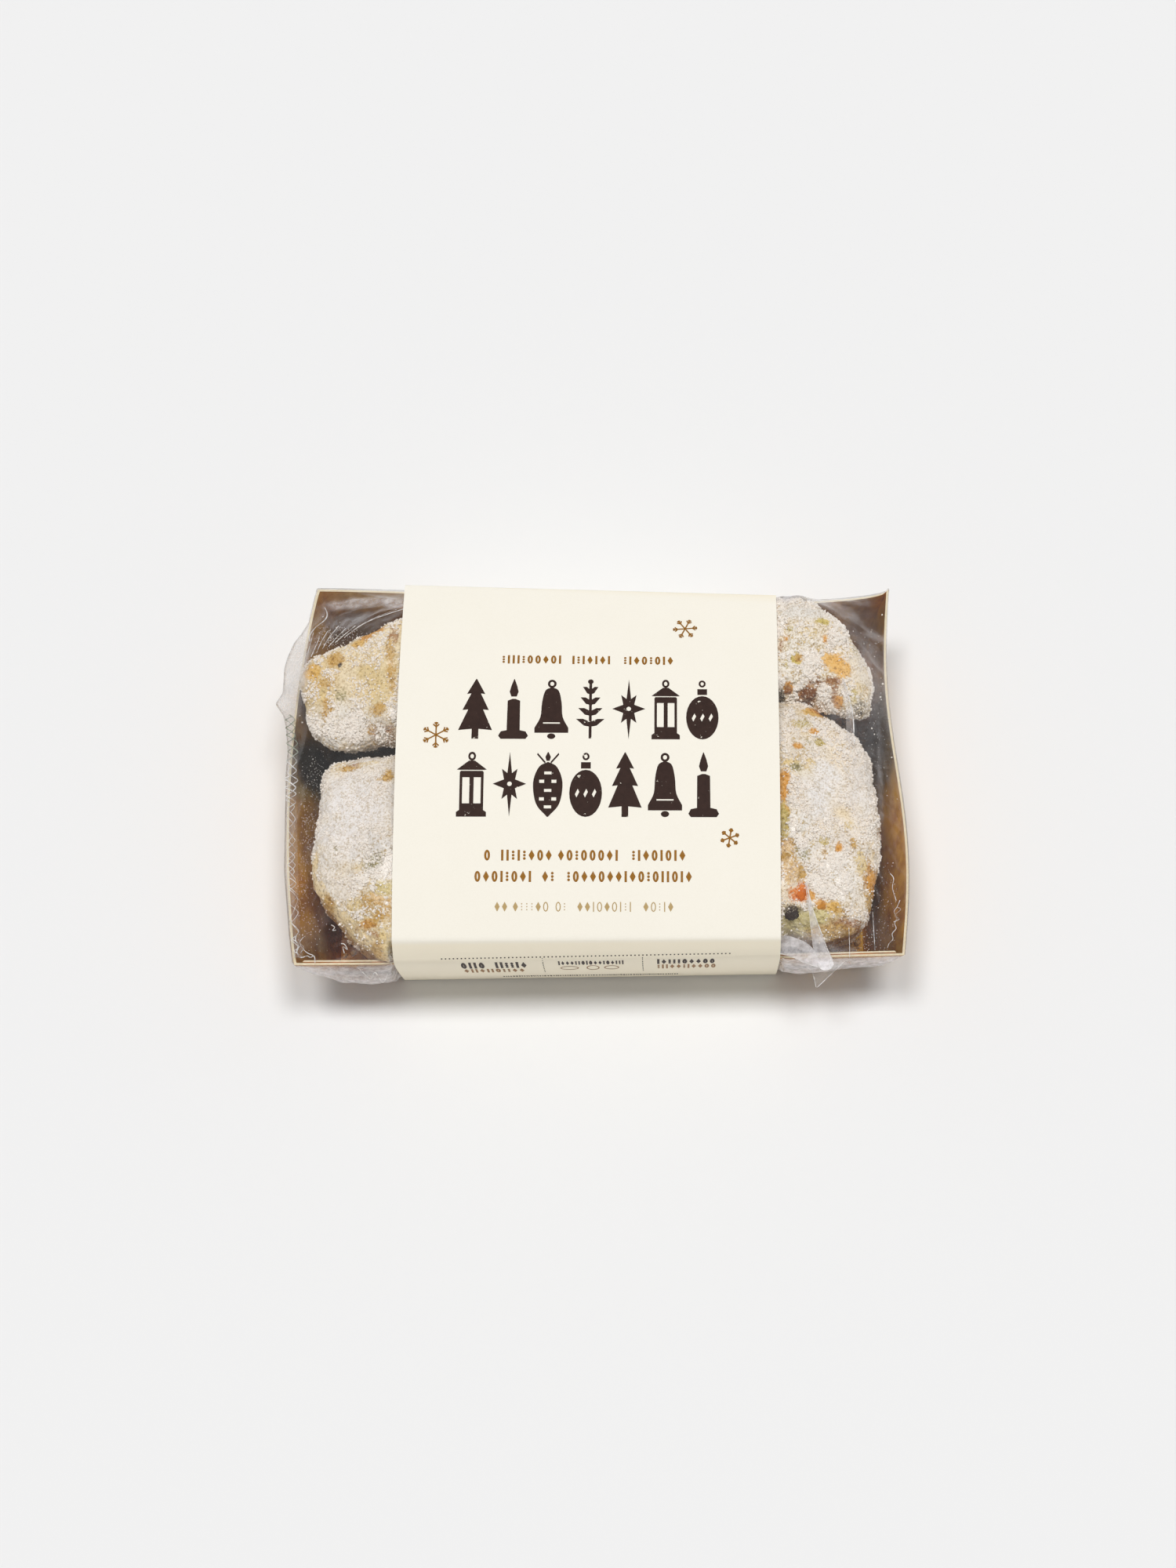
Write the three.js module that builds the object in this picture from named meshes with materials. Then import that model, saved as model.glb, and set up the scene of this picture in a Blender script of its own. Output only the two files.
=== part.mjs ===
// A shut retail pack of stollen bites, in millimetres, +Z up.
//
// A flared card tray holds two rows of four sugar-dusted stollen bites. A clear film bag is
// wrapped round the tray and the bites, and a card sleeve goes round the middle of the pack.
// The pack rests on the sleeve's underside. X runs along the pack and -Y is its front.

import * as THREE from 'three';
import { mergeVertices } from 'three/addons/utils/BufferGeometryUtils.js';

// ---------------------------------------------------------------- driving dimensions

const TRAY_CARD = 0.6;
const SLEEVE_CARD = 0.5;
const FILM = 0.5;
const GAP = 0.3;

// How far each wrapping layer's two faces lie outside the tray and the bites.
const FILM_INNER = GAP;
const FILM_OUTER = FILM_INNER + FILM;
const SLEEVE_INNER = FILM_OUTER + GAP;
const SLEEVE_OUTER = SLEEVE_INNER + SLEEVE_CARD;

// The tray: its corners at the base and at the rim, anticlockwise from the front left.
const TRAY_BASE_Z = SLEEVE_OUTER;
const TRAY_RIM_Z = 33;
const TRAY_CORNERS = [
  { base: [-75, -50], rim: [-83.4, -58.2] },
  { base: [82, -48], rim: [91, -55.2] },
  { base: [80.5, 50], rim: [89.1, 60] },
  { base: [-74, 50.5], rim: [-82, 60.1] },
];

// The walls in the corners' order, and their bends at the rim; outward is positive.
const [FRONT, RIGHT, BACK, LEFT] = [0, 1, 2, 3];
const TRAY_BOWS = [
  (t) => 0.7 * Math.sin(Math.PI * t),
  (t) => 0.4 * Math.sin(Math.PI * t) - 2 * Math.sin(2 * Math.PI * (1 - t)),
  (t) => -7.2 * (1 - t) * Math.sin(Math.PI * t) ** 0.5,
  (t) => 5.1 * Math.sin(Math.PI * t) ** 0.8,
];
const WALL_STEPS = 12;
const WALL_ROWS = 4;

// The sleeve: its section at the left end and at the right end, as [y, z].
const SLEEVE_HALF = 55.4;
const SLEEVE_ENDS = [
  { baseFront: -52.2, baseBack: 53.4, front: [-54.9, 44], back: [57.3, 44.2], bulges: [6.6, 4.9] },
  { baseFront: -50.4, baseBack: 52.9, front: [-54.1, 43.6], back: [54.6, 42.6], bulges: [5.2, 3.6] },
];
const SLEEVE_DOME = 9.4;
const SLEEVE_SWELL_POWER = 1.9;
const SLEEVE_FOLD_RADIUS = 1.2;
const SLEEVE_STEPS = 5;
const TOP_STEPS = 18;
const SIDE_STEPS = 8;

// The film: where the drape over the bites ends, and the slack at the left end seal.
const FILM_SPINE = 35;
const FILM_SHOULDER = 0.33;
const FILM_END_TOP = 46.5;
const FILM_END_FALL = 26;
const FILM_SLACK = { depth: 6.7, y: 25, spread: 20 };
const FILM_RINGS = [0, 0.015, 0.04, 0.08, 0.14, 0.22, 0.33, 0.5, 0.7, 0.92];
const FILM_UNDER = [0.62, 0.22];

// The bites, each in its own box: [x0, x1], [y0, y1] and the top.
const BITES = {
  bite_front_1: { x: [-81.4, -43.8], y: [-56.2, 4.8], top: 45.0 },
  bite_front_2: { x: [-43.0, -0.8], y: [-54.5, 1.9], top: 49.5 },
  bite_front_3: { x: [0.2, 43.6], y: [-53.8, 4.6], top: 49.8 },
  bite_front_4: { x: [44.6, 85.4], y: [-53.2, 18.2], top: 46.0 },
  bite_back_1: { x: [-85.4, -45.0], y: [6.0, 53.6], top: 46.0 },
  bite_back_2: { x: [-44.2, -1.4], y: [2.9, 54.0], top: 49.6 },
  bite_back_3: { x: [-0.4, 42.4], y: [5.6, 52.6], top: 49.4 },
  bite_back_4: { x: [43.4, 84.0], y: [19.4, 55.6], top: 46.6 },
};
const BITE_SQUARENESS = 3.1;
const BITE_LUMP = 0.022;
const BITE_FLOOR = TRAY_BASE_Z + TRAY_CARD + GAP;
const BITE_CLEARANCE = 0.5;
const BITE_SUNK = 3;
const BITE_SEGMENTS = [20, 14];

const COLORS = {
  tray: 0xa5803c,
  sleeve: 0xf4eedd,
  film: 0xe6e8ea,
  bite: 0xdcc9a4,
};

// ---------------------------------------------------------------- small helpers

const lerp = THREE.MathUtils.lerp;
const clamp = THREE.MathUtils.clamp;

/** Turns a mesh's faces outward if its signed volume says that they point inward. */
function facesOut(points, faces) {
  let volume = 0;
  for (let f = 0; f < faces.length; f += 3) {
    const [a, b, c] = [points[faces[f]], points[faces[f + 1]], points[faces[f + 2]]];
    volume += a.dot(new THREE.Vector3().crossVectors(b, c));
  }
  return volume > 0 ? faces : faces.slice().reverse();
}

/** Adds a fan over a ring that starts at `first`, round the ring's middle. */
function closeRing(points, faces, first, count, turned) {
  const middle = new THREE.Vector3();
  for (let i = 0; i < count; i += 1) middle.add(points[first + i]);
  points.push(middle.divideScalar(count));
  const hub = points.length - 1;
  for (let i = 0; i < count; i += 1) {
    const a = first + i;
    const b = first + ((i + 1) % count);
    faces.push(...(turned ? [hub, b, a] : [hub, a, b]));
  }
}

/** Skins rings of points into one closed body: end to end in a loop, or closed at both ends. */
function skinRings(rings, loop = false) {
  const count = rings[0].length;
  const points = rings.flat();
  const faces = [];
  const bands = loop ? rings.length : rings.length - 1;
  for (let r = 0; r < bands; r += 1) {
    const here = r * count;
    const next = ((r + 1) % rings.length) * count;
    for (let i = 0; i < count; i += 1) {
      const j = (i + 1) % count;
      faces.push(here + i, here + j, next + j, here + i, next + j, next + i);
    }
  }
  if (!loop) {
    closeRing(points, faces, 0, count, true);
    closeRing(points, faces, (rings.length - 1) * count, count, false);
  }
  const geometry = new THREE.BufferGeometry().setFromPoints(points);
  geometry.setIndex(facesOut(points, faces));
  geometry.computeVertexNormals();
  return geometry;
}

function namedMesh(name, geometry, color, finish) {
  const mesh = new THREE.Mesh(geometry, new THREE.MeshStandardMaterial({ color, ...finish }));
  mesh.name = name;
  return mesh;
}

// ---------------------------------------------------------------- tray

/** A corner of the tray at height share h, moved outward by `offset` on both sides. */
function trayCorner(index, h, offset) {
  const { base, rim } = TRAY_CORNERS[index % TRAY_CORNERS.length];
  const x = lerp(base[0], rim[0], h);
  const y = lerp(base[1], rim[1], h);
  return new THREE.Vector2(x + Math.sign(x) * offset, y + Math.sign(y) * offset);
}

/**
 * A ring round the tray's walls at height share h, `offset` outside their outer face. `slack`
 * gives how far a loose layer stands off the left wall at a given y.
 */
function wallRing(h, offset, z, slack = () => 0) {
  const ring = [];
  TRAY_BOWS.forEach((bow, wall) => {
    const from = trayCorner(wall, h, offset);
    const to = trayCorner(wall + 1, h, offset);
    const along = to.clone().sub(from).normalize();
    for (let step = 0; step < WALL_STEPS; step += 1) {
      const t = step / WALL_STEPS;
      const x = lerp(from.x, to.x, t);
      const y = lerp(from.y, to.y, t);
      const loose = wall === LEFT ? slack(y) * Math.sin(Math.PI * t) : 0;
      const out = bow(t) * h * h + loose;
      ring.push(new THREE.Vector3(x + along.y * out, y - along.x * out, z));
    }
  });
  return ring;
}

const wallZ = (h) => lerp(TRAY_BASE_Z, TRAY_RIM_Z, h);

/** Where a wall's face stands at height share h: its y at a given x, or its x at a given y. */
function wallPlace(wall, at, h, offset) {
  const from = trayCorner(wall, h, offset);
  const to = trayCorner(wall + 1, h, offset);
  const alongX = wall === FRONT || wall === BACK;
  const t = alongX ? (at - from.x) / (to.x - from.x) : (at - from.y) / (to.y - from.y);
  const share = clamp(t, 0, 1);
  const out = TRAY_BOWS[wall](share) * h * h;
  const across = alongX ? lerp(from.y, to.y, share) : lerp(from.x, to.x, share);
  return across + Math.sign(across) * out;
}

/** The card tray: a flat floor and four thin walls that flare and bend. */
function trayGeometry() {
  const shares = Array.from({ length: WALL_ROWS + 1 }, (_, row) => row / WALL_ROWS);
  const outside = shares.map((h) => wallRing(h, 0, wallZ(h)));
  const floorShare = TRAY_CARD / (TRAY_RIM_Z - TRAY_BASE_Z);
  const inside = shares.map((h) => {
    const share = Math.max(h, floorShare);
    return wallRing(share, -TRAY_CARD, wallZ(share));
  });
  return skinRings([...outside, ...inside.reverse()]);
}

// ---------------------------------------------------------------- sleeve

/** The sleeve's section at place u, from 0 at its left end to 1 at its right end. */
function sleeveMeasures(u) {
  const [left, right] = SLEEVE_ENDS;
  const mix = (a, b) => a.map((value, i) => lerp(value, b[i], u));
  return {
    baseFront: lerp(left.baseFront, right.baseFront, u),
    baseBack: lerp(left.baseBack, right.baseBack, u),
    front: mix(left.front, right.front),
    back: mix(left.back, right.back),
    bulges: mix(left.bulges, right.bulges),
  };
}

/** One side panel from the base crease up to the top fold; it swells over the tray's rim. */
function sidePanel(baseY, fold, swell) {
  const points = [];
  for (let step = 0; step <= SIDE_STEPS; step += 1) {
    const t = step / SIDE_STEPS;
    const y = lerp(baseY, fold[0], t) + swell * Math.sin(Math.PI * t ** SLEEVE_SWELL_POWER);
    points.push(new THREE.Vector2(y, fold[1] * t));
  }
  return points;
}

/** The height of the domed top at share t of the way from the front fold to the back fold. */
const domeZ = (front, back, t) => lerp(front[1], back[1], t) + SLEEVE_DOME * 4 * t * (1 - t);

function topPanel(front, back) {
  const points = [];
  for (let step = 1; step < TOP_STEPS; step += 1) {
    const t = step / TOP_STEPS;
    points.push(new THREE.Vector2(lerp(front[0], back[0], t), domeZ(front, back, t)));
  }
  return points;
}

/** Replaces the corner at `index` with a short round fold. */
function roundFold(outline, index) {
  const corner = outline[index];
  const before = outline[(index + outline.length - 1) % outline.length];
  const after = outline[(index + 1) % outline.length];
  const reach = (point) => point.clone().sub(corner).setLength(SLEEVE_FOLD_RADIUS);
  const toward = (point) => corner.clone().add(reach(point));
  const curve = new THREE.QuadraticBezierCurve(toward(before), corner, toward(after));
  return curve.getPoints(2);
}

/** The sleeve's outer outline in Y and Z, from the front base crease up and over to the back. */
function sleeveOutline(u) {
  const { baseFront, baseBack, front, back, bulges } = sleeveMeasures(u);
  const frontPanel = sidePanel(baseFront, front, -bulges[0]);
  const backPanel = sidePanel(baseBack, back, bulges[1]).reverse();
  const outline = [...frontPanel, ...topPanel(front, back), ...backPanel];
  const folds = [0, SIDE_STEPS, SIDE_STEPS + TOP_STEPS, outline.length - 1];
  return outline.flatMap((point, i) => (folds.includes(i) ? roundFold(outline, i) : [point]));
}

/** The outline moved inward by the card's thickness, further at a corner. */
function insetOutline(outline) {
  return outline.map((point, i) => {
    const before = outline[(i + outline.length - 1) % outline.length];
    const after = outline[(i + 1) % outline.length];
    const into = point.clone().sub(before).normalize();
    const away = after.clone().sub(point).normalize();
    const normal = new THREE.Vector2(into.y + away.y, -into.x - away.x).normalize();
    const cosine = normal.dot(new THREE.Vector2(into.y, -into.x));
    return point.clone().addScaledVector(normal, SLEEVE_CARD / cosine);
  });
}

/** The card sleeve: a band with four round folds, a domed top and swollen sides. */
function sleeveGeometry() {
  const outer = [];
  const inner = [];
  for (let step = 0; step <= SLEEVE_STEPS; step += 1) {
    const u = step / SLEEVE_STEPS;
    const x = lerp(-SLEEVE_HALF, SLEEVE_HALF, u);
    const outline = sleeveOutline(u);
    const place = (point) => new THREE.Vector3(x, point.x, point.y);
    outer.push(outline.map(place));
    inner.push(insetOutline(outline).map(place));
  }
  return skinRings([...outer, ...inner.reverse()], true);
}

// ---------------------------------------------------------------- film bag

/** How far a place is in from the rim: 0 on the rim and 1 along the middle of the pack. */
function inwardShare(x, y) {
  const reachX = Math.abs(wallPlace(x < 0 ? LEFT : RIGHT, y, 1, 0)) - FILM_SPINE;
  const reachY = Math.abs(wallPlace(y < 0 ? FRONT : BACK, x, 1, 0));
  return clamp(1 - Math.max((Math.abs(x) - FILM_SPINE) / reachX, Math.abs(y) / reachY), 0, 1);
}

/** The height of what the film lies on: the dome under the sleeve, lower over the end bites. */
function contentZ(x, y, share = inwardShare(x, y)) {
  const u = clamp((x + SLEEVE_HALF) / (2 * SLEEVE_HALF), 0, 1);
  const { front, back } = sleeveMeasures(u);
  const t = clamp((y - front[0]) / (back[0] - front[0]), 0, 1);
  const dome = domeZ(front, back, t) - SLEEVE_OUTER;
  const pastSleeve = clamp((Math.abs(x) - SLEEVE_HALF) / FILM_END_FALL, 0, 1);
  const top = lerp(dome, Math.min(dome, FILM_END_TOP), THREE.MathUtils.smoothstep(pastSleeve, 0, 1));
  const rise = Math.sqrt(1 - (1 - Math.min(share / FILM_SHOULDER, 1)) ** 2);
  return TRAY_RIM_Z + (top - TRAY_RIM_Z) * rise;
}

/** How far the film stands off the left wall at height share h, by y. */
const leftSlack = (h) => (y) =>
  FILM_SLACK.depth * h * Math.exp(-(((y - FILM_SLACK.y) / FILM_SLACK.spread) ** 2));

/** One face of the film from the middle of the top, over the rim, down and under the tray. */
function filmFace(offset) {
  const rim = wallRing(1, offset, TRAY_RIM_Z, leftSlack(1));
  const top = FILM_RINGS.map((share) =>
    rim.map((point) => {
      const x = lerp(point.x, clamp(point.x, -FILM_SPINE, FILM_SPINE), share);
      const y = lerp(point.y, 0, share);
      return new THREE.Vector3(x, y, contentZ(x, y, share) + offset);
    }),
  );
  const shares = Array.from({ length: WALL_ROWS - 1 }, (_, row) => 1 - (row + 1) / WALL_ROWS);
  const walls = shares.map((h) => wallRing(h, offset, wallZ(h), leftSlack(h)));
  const foot = wallRing(0, offset, TRAY_BASE_Z - offset);
  const shrink = new THREE.Vector3(1, 1, 1);
  const under = FILM_UNDER.map((scale) =>
    foot.map((point) => point.clone().multiply(shrink.set(scale, scale, 1))),
  );
  return [...top.reverse(), ...walls, foot, ...under];
}

/** The film bag: a thin skin that is closed all round but for a gap in its hidden underside. */
function filmGeometry() {
  return skinRings([...filmFace(FILM_OUTER), ...filmFace(FILM_INNER).reverse()]);
}

// ---------------------------------------------------------------- stollen bites

/** Keeps a point inside the tray's walls, off its floor and under the film. */
function keepInPack(point) {
  const h = clamp((point.z - TRAY_BASE_Z) / (TRAY_RIM_Z - TRAY_BASE_Z), 0, 1);
  const wall = TRAY_CARD + BITE_CLEARANCE;
  point.x = clamp(point.x, wallPlace(LEFT, point.y, h, -wall), wallPlace(RIGHT, point.y, h, -wall));
  point.y = clamp(point.y, wallPlace(FRONT, point.x, h, -wall), wallPlace(BACK, point.x, h, -wall));
  const roof = contentZ(point.x, point.y) - BITE_CLEARANCE;
  point.z = Math.max(Math.min(point.z, roof), BITE_FLOOR);
}

/** Soft lumps over a unit sphere, from 0 where the surface stands out to about 3.2. */
function biteLumps({ x, y, z }, seed) {
  const broad = Math.sin(3.1 * x + 1.7 * seed) * Math.cos(2.7 * y - seed);
  const fine = Math.sin(5.3 * z + 4.1 * y + 2.3 * seed);
  return 1.6 + broad + 0.6 * fine;
}

/** One lumpy bite that fills its box; `seed` shifts its lumps. */
function biteGeometry({ x, y, top }, seed) {
  const sphere = new THREE.SphereGeometry(1, BITE_SEGMENTS[0], BITE_SEGMENTS[1]);
  sphere.deleteAttribute('normal');
  sphere.deleteAttribute('uv');
  const geometry = mergeVertices(sphere.rotateX(Math.PI / 2));
  const foot = BITE_FLOOR - BITE_SUNK;
  const half = new THREE.Vector3((x[1] - x[0]) / 2, (y[1] - y[0]) / 2, (top - foot) / 2);
  const middle = new THREE.Vector3((x[0] + x[1]) / 2, (y[0] + y[1]) / 2, (top + foot) / 2);
  const place = geometry.attributes.position;
  const point = new THREE.Vector3();
  for (let i = 0; i < place.count; i += 1) {
    point.fromBufferAttribute(place, i);
    const powers = point.toArray().map((part) => Math.abs(part) ** BITE_SQUARENESS);
    const norm = powers[0] + powers[1] + powers[2];
    const radius = norm ** (-1 / BITE_SQUARENESS) * (1 - BITE_LUMP * biteLumps(point, seed));
    point.multiplyScalar(radius).multiply(half).add(middle);
    keepInPack(point);
    place.setXYZ(i, point.x, point.y, point.z);
  }
  geometry.computeVertexNormals();
  return geometry;
}

// ---------------------------------------------------------------- the pack

const pack = new THREE.Group();
pack.add(namedMesh('tray', trayGeometry(), COLORS.tray, { roughness: 0.35, metalness: 0.6 }));
Object.entries(BITES).forEach(([name, box], index) => {
  pack.add(namedMesh(name, biteGeometry(box, index + 1), COLORS.bite, { roughness: 0.9, metalness: 0 }));
});
pack.add(
  namedMesh('film_bag', filmGeometry(), COLORS.film, {
    roughness: 0.15,
    metalness: 0,
    transparent: true,
    opacity: 0.25,
  }),
);
pack.add(namedMesh('sleeve', sleeveGeometry(), COLORS.sleeve, { roughness: 0.6, metalness: 0 }));

export default pack;
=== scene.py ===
"""A shut retail pack of stollen bites: a gold card tray, two rows of sugar-dusted bites,
a clear film bag round them and a printed card sleeve round the middle.

Lengths are in millimetres until `add_mesh` turns them into metres. X runs along the pack,
-Y is its front and +Z is up, as in the CAD frame.
"""

import math
from typing import NamedTuple

import bmesh
import bpy
import numpy as np
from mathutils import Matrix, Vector
from mathutils.bvhtree import BVHTree
from mathutils.geometry import tessellate_polygon


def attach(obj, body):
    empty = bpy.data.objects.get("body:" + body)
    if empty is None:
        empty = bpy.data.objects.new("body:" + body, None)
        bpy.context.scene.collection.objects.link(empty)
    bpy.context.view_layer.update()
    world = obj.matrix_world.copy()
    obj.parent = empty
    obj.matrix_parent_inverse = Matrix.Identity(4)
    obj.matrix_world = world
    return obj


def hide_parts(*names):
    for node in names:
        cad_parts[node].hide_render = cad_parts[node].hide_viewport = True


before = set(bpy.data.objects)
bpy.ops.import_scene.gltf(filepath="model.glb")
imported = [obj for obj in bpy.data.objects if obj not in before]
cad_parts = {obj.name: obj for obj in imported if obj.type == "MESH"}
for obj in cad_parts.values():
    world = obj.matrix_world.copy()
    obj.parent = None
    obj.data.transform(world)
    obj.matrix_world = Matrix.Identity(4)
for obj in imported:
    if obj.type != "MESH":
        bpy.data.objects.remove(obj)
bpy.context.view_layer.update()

MM = 0.001

# ---------------------------------------------------------------- measures

# The tray: its corners at the base and at the rim, anticlockwise from the front left.
TRAY_CARD = 0.6
TRAY_BASE_Z = 1.6
TRAY_RIM_Z = 33.0
TRAY_HEIGHT = TRAY_RIM_Z - TRAY_BASE_Z
TRAY_BASE = np.array([[-75.0, -50.0], [82.0, -48.0], [80.5, 50.0], [-74.0, 50.5]])
TRAY_RIM = np.array([[-84.3, -58.4], [91.3, -55.4], [89.8, 61.2], [-82.8, 61.2]])
FRONT, RIGHT, BACK, LEFT = range(4)


def arch(t, power=1.0):
    """0 at both ends of a wall and 1 in its middle."""
    return np.clip(np.sin(np.pi * t), 0, 1) ** power


# How the walls bend at the rim, along t from corner to corner; outward is positive. The
# sleeve presses the front wall in.
TRAY_BOWS = [
    lambda t: 0.7 * arch(t) - 0.8 * smooth_step(0.14, 0.2, t) * smooth_step(0.82, 0.76, t),
    lambda t: 0.4 * arch(t) - 2.0 * np.sin(2 * np.pi * (1 - t)),
    lambda t: -7.2 * (1 - t) * arch(t, 0.5),
    lambda t: 5.1 * arch(t, 0.8),
]

# The sleeve's section at its left and right end, as [y, z]: the creases at the base, the
# knees that lie on the tray's rim, and the folds at the edges of the domed top.
SLEEVE_HALF = 55.4
SLEEVE_CARD = 0.45
SLEEVE_DOME = 9.4
SLEEVE_FOLD_RADIUS = 1.1
SLEEVE_COLUMNS = 29
SIDE_STEPS = 6
TOP_STEPS = 60
SLEEVE_ENDS = {
    "front_base": ([-52.2, 0.0], [-50.4, 0.0]),
    "front_knee": ([-58.6, 33.5], [-56.7, 33.5]),
    "front_fold": ([-54.9, 44.6], [-54.1, 44.2]),
    "back_fold": ([57.3, 44.4], [54.6, 43.0]),
    "back_knee": ([61.2, 34.0], [57.8, 34.0]),
    "back_base": ([53.4, 0.0], [52.9, 0.0]),
}


# ---------------------------------------------------------------- numbers for shapes

def smooth_step(low, high, value):
    t = np.clip((value - low) / (high - low), 0, 1)
    return t * t * (3 - 2 * t)


def lattice_random(cells, seed):
    """A fixed number from 0 to 1 for each whole-numbered lattice point."""
    mixed = cells[..., 0] * 73856093 ^ cells[..., 1] * 19349663 ^ cells[..., 2] * 83492791
    mixed = mixed ^ (seed + 1) * 668265263
    mixed = (mixed ^ (mixed >> 15)) * 2246822519 & 0xFFFFFFFF
    mixed = (mixed ^ (mixed >> 13)) * 3266489917 & 0xFFFFFFFF
    return (mixed ^ (mixed >> 16)) / 0xFFFFFFFF


def noise(points, size, seed=0):
    """Smooth noise from -1 to 1, whose lumps are about `size` across."""
    scaled = points / size + 100.0
    cell = np.floor(scaled).astype(np.int64)
    part = scaled - cell
    eased = part**3 * (part * (part * 6 - 15) + 10)
    total = np.zeros(len(points))
    for corner in np.ndindex(2, 2, 2):
        step = np.array(corner)
        weight = np.prod(np.where(step == 1, eased, 1 - eased), axis=1)
        slopes = [lattice_random(cell + step, seed * 3 + axis) * 2 - 1 for axis in range(3)]
        total += weight * np.sum(np.stack(slopes, -1) * (part - step), axis=1)
    return np.clip(total * 1.5, -1, 1)


def layered_noise(points, size, seed=0, layers=3):
    """Noise with finer and finer layers, each half as large and half as strong."""
    total = sum(noise(points, size / 2**layer, seed + layer) / 2**layer for layer in range(layers))
    return total / (2 - 2 ** (1 - layers))


def cell_distance(points, size, seed=0):
    """How far a point is from the nearest of scattered spots about `size` apart, in sizes."""
    scaled = points / size + 100.0
    cell = np.floor(scaled).astype(np.int64)
    nearest = np.full(len(points), 9.0)
    for step in np.ndindex(3, 3, 3):
        other = cell + np.array(step) - 1
        spot = np.stack([lattice_random(other, seed * 3 + axis) for axis in range(3)], -1)
        nearest = np.minimum(nearest, np.linalg.norm(other + spot - scaled, axis=1))
    return nearest


def at_height(flat, z):
    """Flat points lifted to one height."""
    return np.column_stack([flat, np.full(len(flat), z)])


def read_off(table, at):
    """The second column of a table at places along its first column."""
    return np.interp(at, *np.array(table, float).T)


def run_lengths(line):
    """How far along a line each of its points is."""
    return np.concatenate([[0], np.cumsum(np.linalg.norm(np.diff(line, axis=0), axis=1))])


def smooth_curve(points, steps, closed=False):
    """A Catmull-Rom curve through the points, `steps` places to each stretch."""
    points = np.asarray(points, float)
    if closed:
        padded = np.concatenate([points[-1:], points, points[:2]])
    else:
        before, after = 2 * points[:1] - points[1:2], 2 * points[-1:] - points[-2:-1]
        padded = np.concatenate([before, points, after])
    t = (np.arange(steps) / steps)[:, None]
    curve = []
    for a, b, c, d in zip(padded, padded[1:], padded[2:], padded[3:]):
        square, cube = 2 * a - 5 * b + 4 * c - d, 3 * b - a - 3 * c + d
        curve.append(0.5 * (2 * b + (c - a) * t + square * t**2 + cube * t**3))
    if not closed:
        curve.append(points[-1:])
    return np.concatenate(curve)


# ---------------------------------------------------------------- meshes

def band_faces(rows, columns, wrap_rows=False, wrap_columns=True):
    """Quads over a grid of points that may close on itself in either direction."""
    row = np.arange(rows if wrap_rows else rows - 1)
    column = np.arange(columns if wrap_columns else columns - 1)
    row, column = [grid.ravel() for grid in np.meshgrid(row, column, indexing="ij")]
    next_row, next_column = (row + 1) % rows, (column + 1) % columns
    around = ((row, column), (row, next_column), (next_row, next_column), (next_row, column))
    return np.stack([i * columns + j for i, j in around], -1)


def end_caps(rows, columns):
    """The faces that close a tube of points at its first and last row."""
    first = list(range(columns))
    return [first[::-1], [(rows - 1) * columns + i for i in first]]


def join(parts):
    """One list of points and one of faces from several."""
    points, faces, count = [], [], 0
    for part, part_faces in parts:
        points.append(part)
        faces.append(np.asarray(part_faces) + count)
        count += len(part)
    return np.concatenate(points), np.concatenate(faces)


def add_mesh(name, points, faces, materials, *, replaces=(), picks=None, fields=(), smooth=True):
    """Makes a piece of the pack from points in millimetres and rides it on the pack's body.

    `picks` says which material each face takes, and `fields` holds numbers or colours for
    each point, which the materials read by name.
    """
    mesh = bpy.data.meshes.new(name)
    corners = [list(map(int, face)) for face in faces]
    mesh.from_pydata((np.asarray(points) * MM).tolist(), [], corners)
    for material in materials:
        mesh.materials.append(material)
    if picks is not None:
        mesh.polygons.foreach_set("material_index", np.asarray(picks, np.int32))
    mesh.polygons.foreach_set("use_smooth", np.full(len(mesh.polygons), smooth))
    for field, values in dict(fields).items():
        values = np.asarray(values, np.float32)
        if values.ndim == 2:
            opaque = np.column_stack([values, np.ones(len(values), np.float32)])
            mesh.attributes.new(field, "FLOAT_COLOR", "POINT").data.foreach_set("color", opaque.ravel())
        else:
            mesh.attributes.new(field, "FLOAT", "POINT").data.foreach_set("value", values)
    mesh.update()
    piece = bpy.data.objects.new(name, mesh)
    bpy.context.scene.collection.objects.link(piece)
    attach(piece, "root")
    if replaces:
        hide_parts(*replaces)
    return piece


# ---------------------------------------------------------------- materials

def color(code):
    """A linear colour from a hexadecimal sRGB code such as "f4eedd"."""
    parts = [int(code[i:i + 2], 16) / 255 for i in (0, 2, 4)]
    return tuple(part / 12.92 if part <= 0.04045 else ((part + 0.055) / 1.055) ** 2.4 for part in parts)


def toward(tones, code, share):
    """Colours, one to a row, carried toward a coded colour by a share for each row."""
    return tones + (np.array(color(code)) - tones) * share[:, None]


class Nodes:
    """A node tree that is put together in code; `place` is where a point lies."""

    def __init__(self, tree, coordinate):
        self.tree = tree
        self.tree.nodes.clear()
        self.place = self.add("TexCoord").outputs[coordinate]

    def add(self, kind, inputs=(), **settings):
        """Adds a node; an input takes a number, a colour or another node's output."""
        node = self.tree.nodes.new("ShaderNode" + kind)
        for name, value in settings.items():
            setattr(node, name, value)
        for name, value in dict(inputs).items():
            if isinstance(value, bpy.types.NodeSocket):
                self.tree.links.new(value, node.inputs[name])
            elif isinstance(value, tuple) and node.inputs[name].type == "RGBA":
                node.inputs[name].default_value = (*value, 1)
            else:
                node.inputs[name].default_value = value
        return node

    def math(self, operation, *values):
        """A sum on numbers or outputs."""
        return self.add("Math", dict(enumerate(values)), operation=operation).outputs[0]

    def spread(self, value, low, high, to_low=0.0, to_high=1.0):
        """Carries low..high over to to_low..to_high, and no further."""
        inputs = {"Value": value, "From Min": low, "From Max": high, "To Min": to_low, "To Max": to_high}
        return self.add("MapRange", inputs, interpolation_type="SMOOTHSTEP").outputs["Result"]


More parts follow.
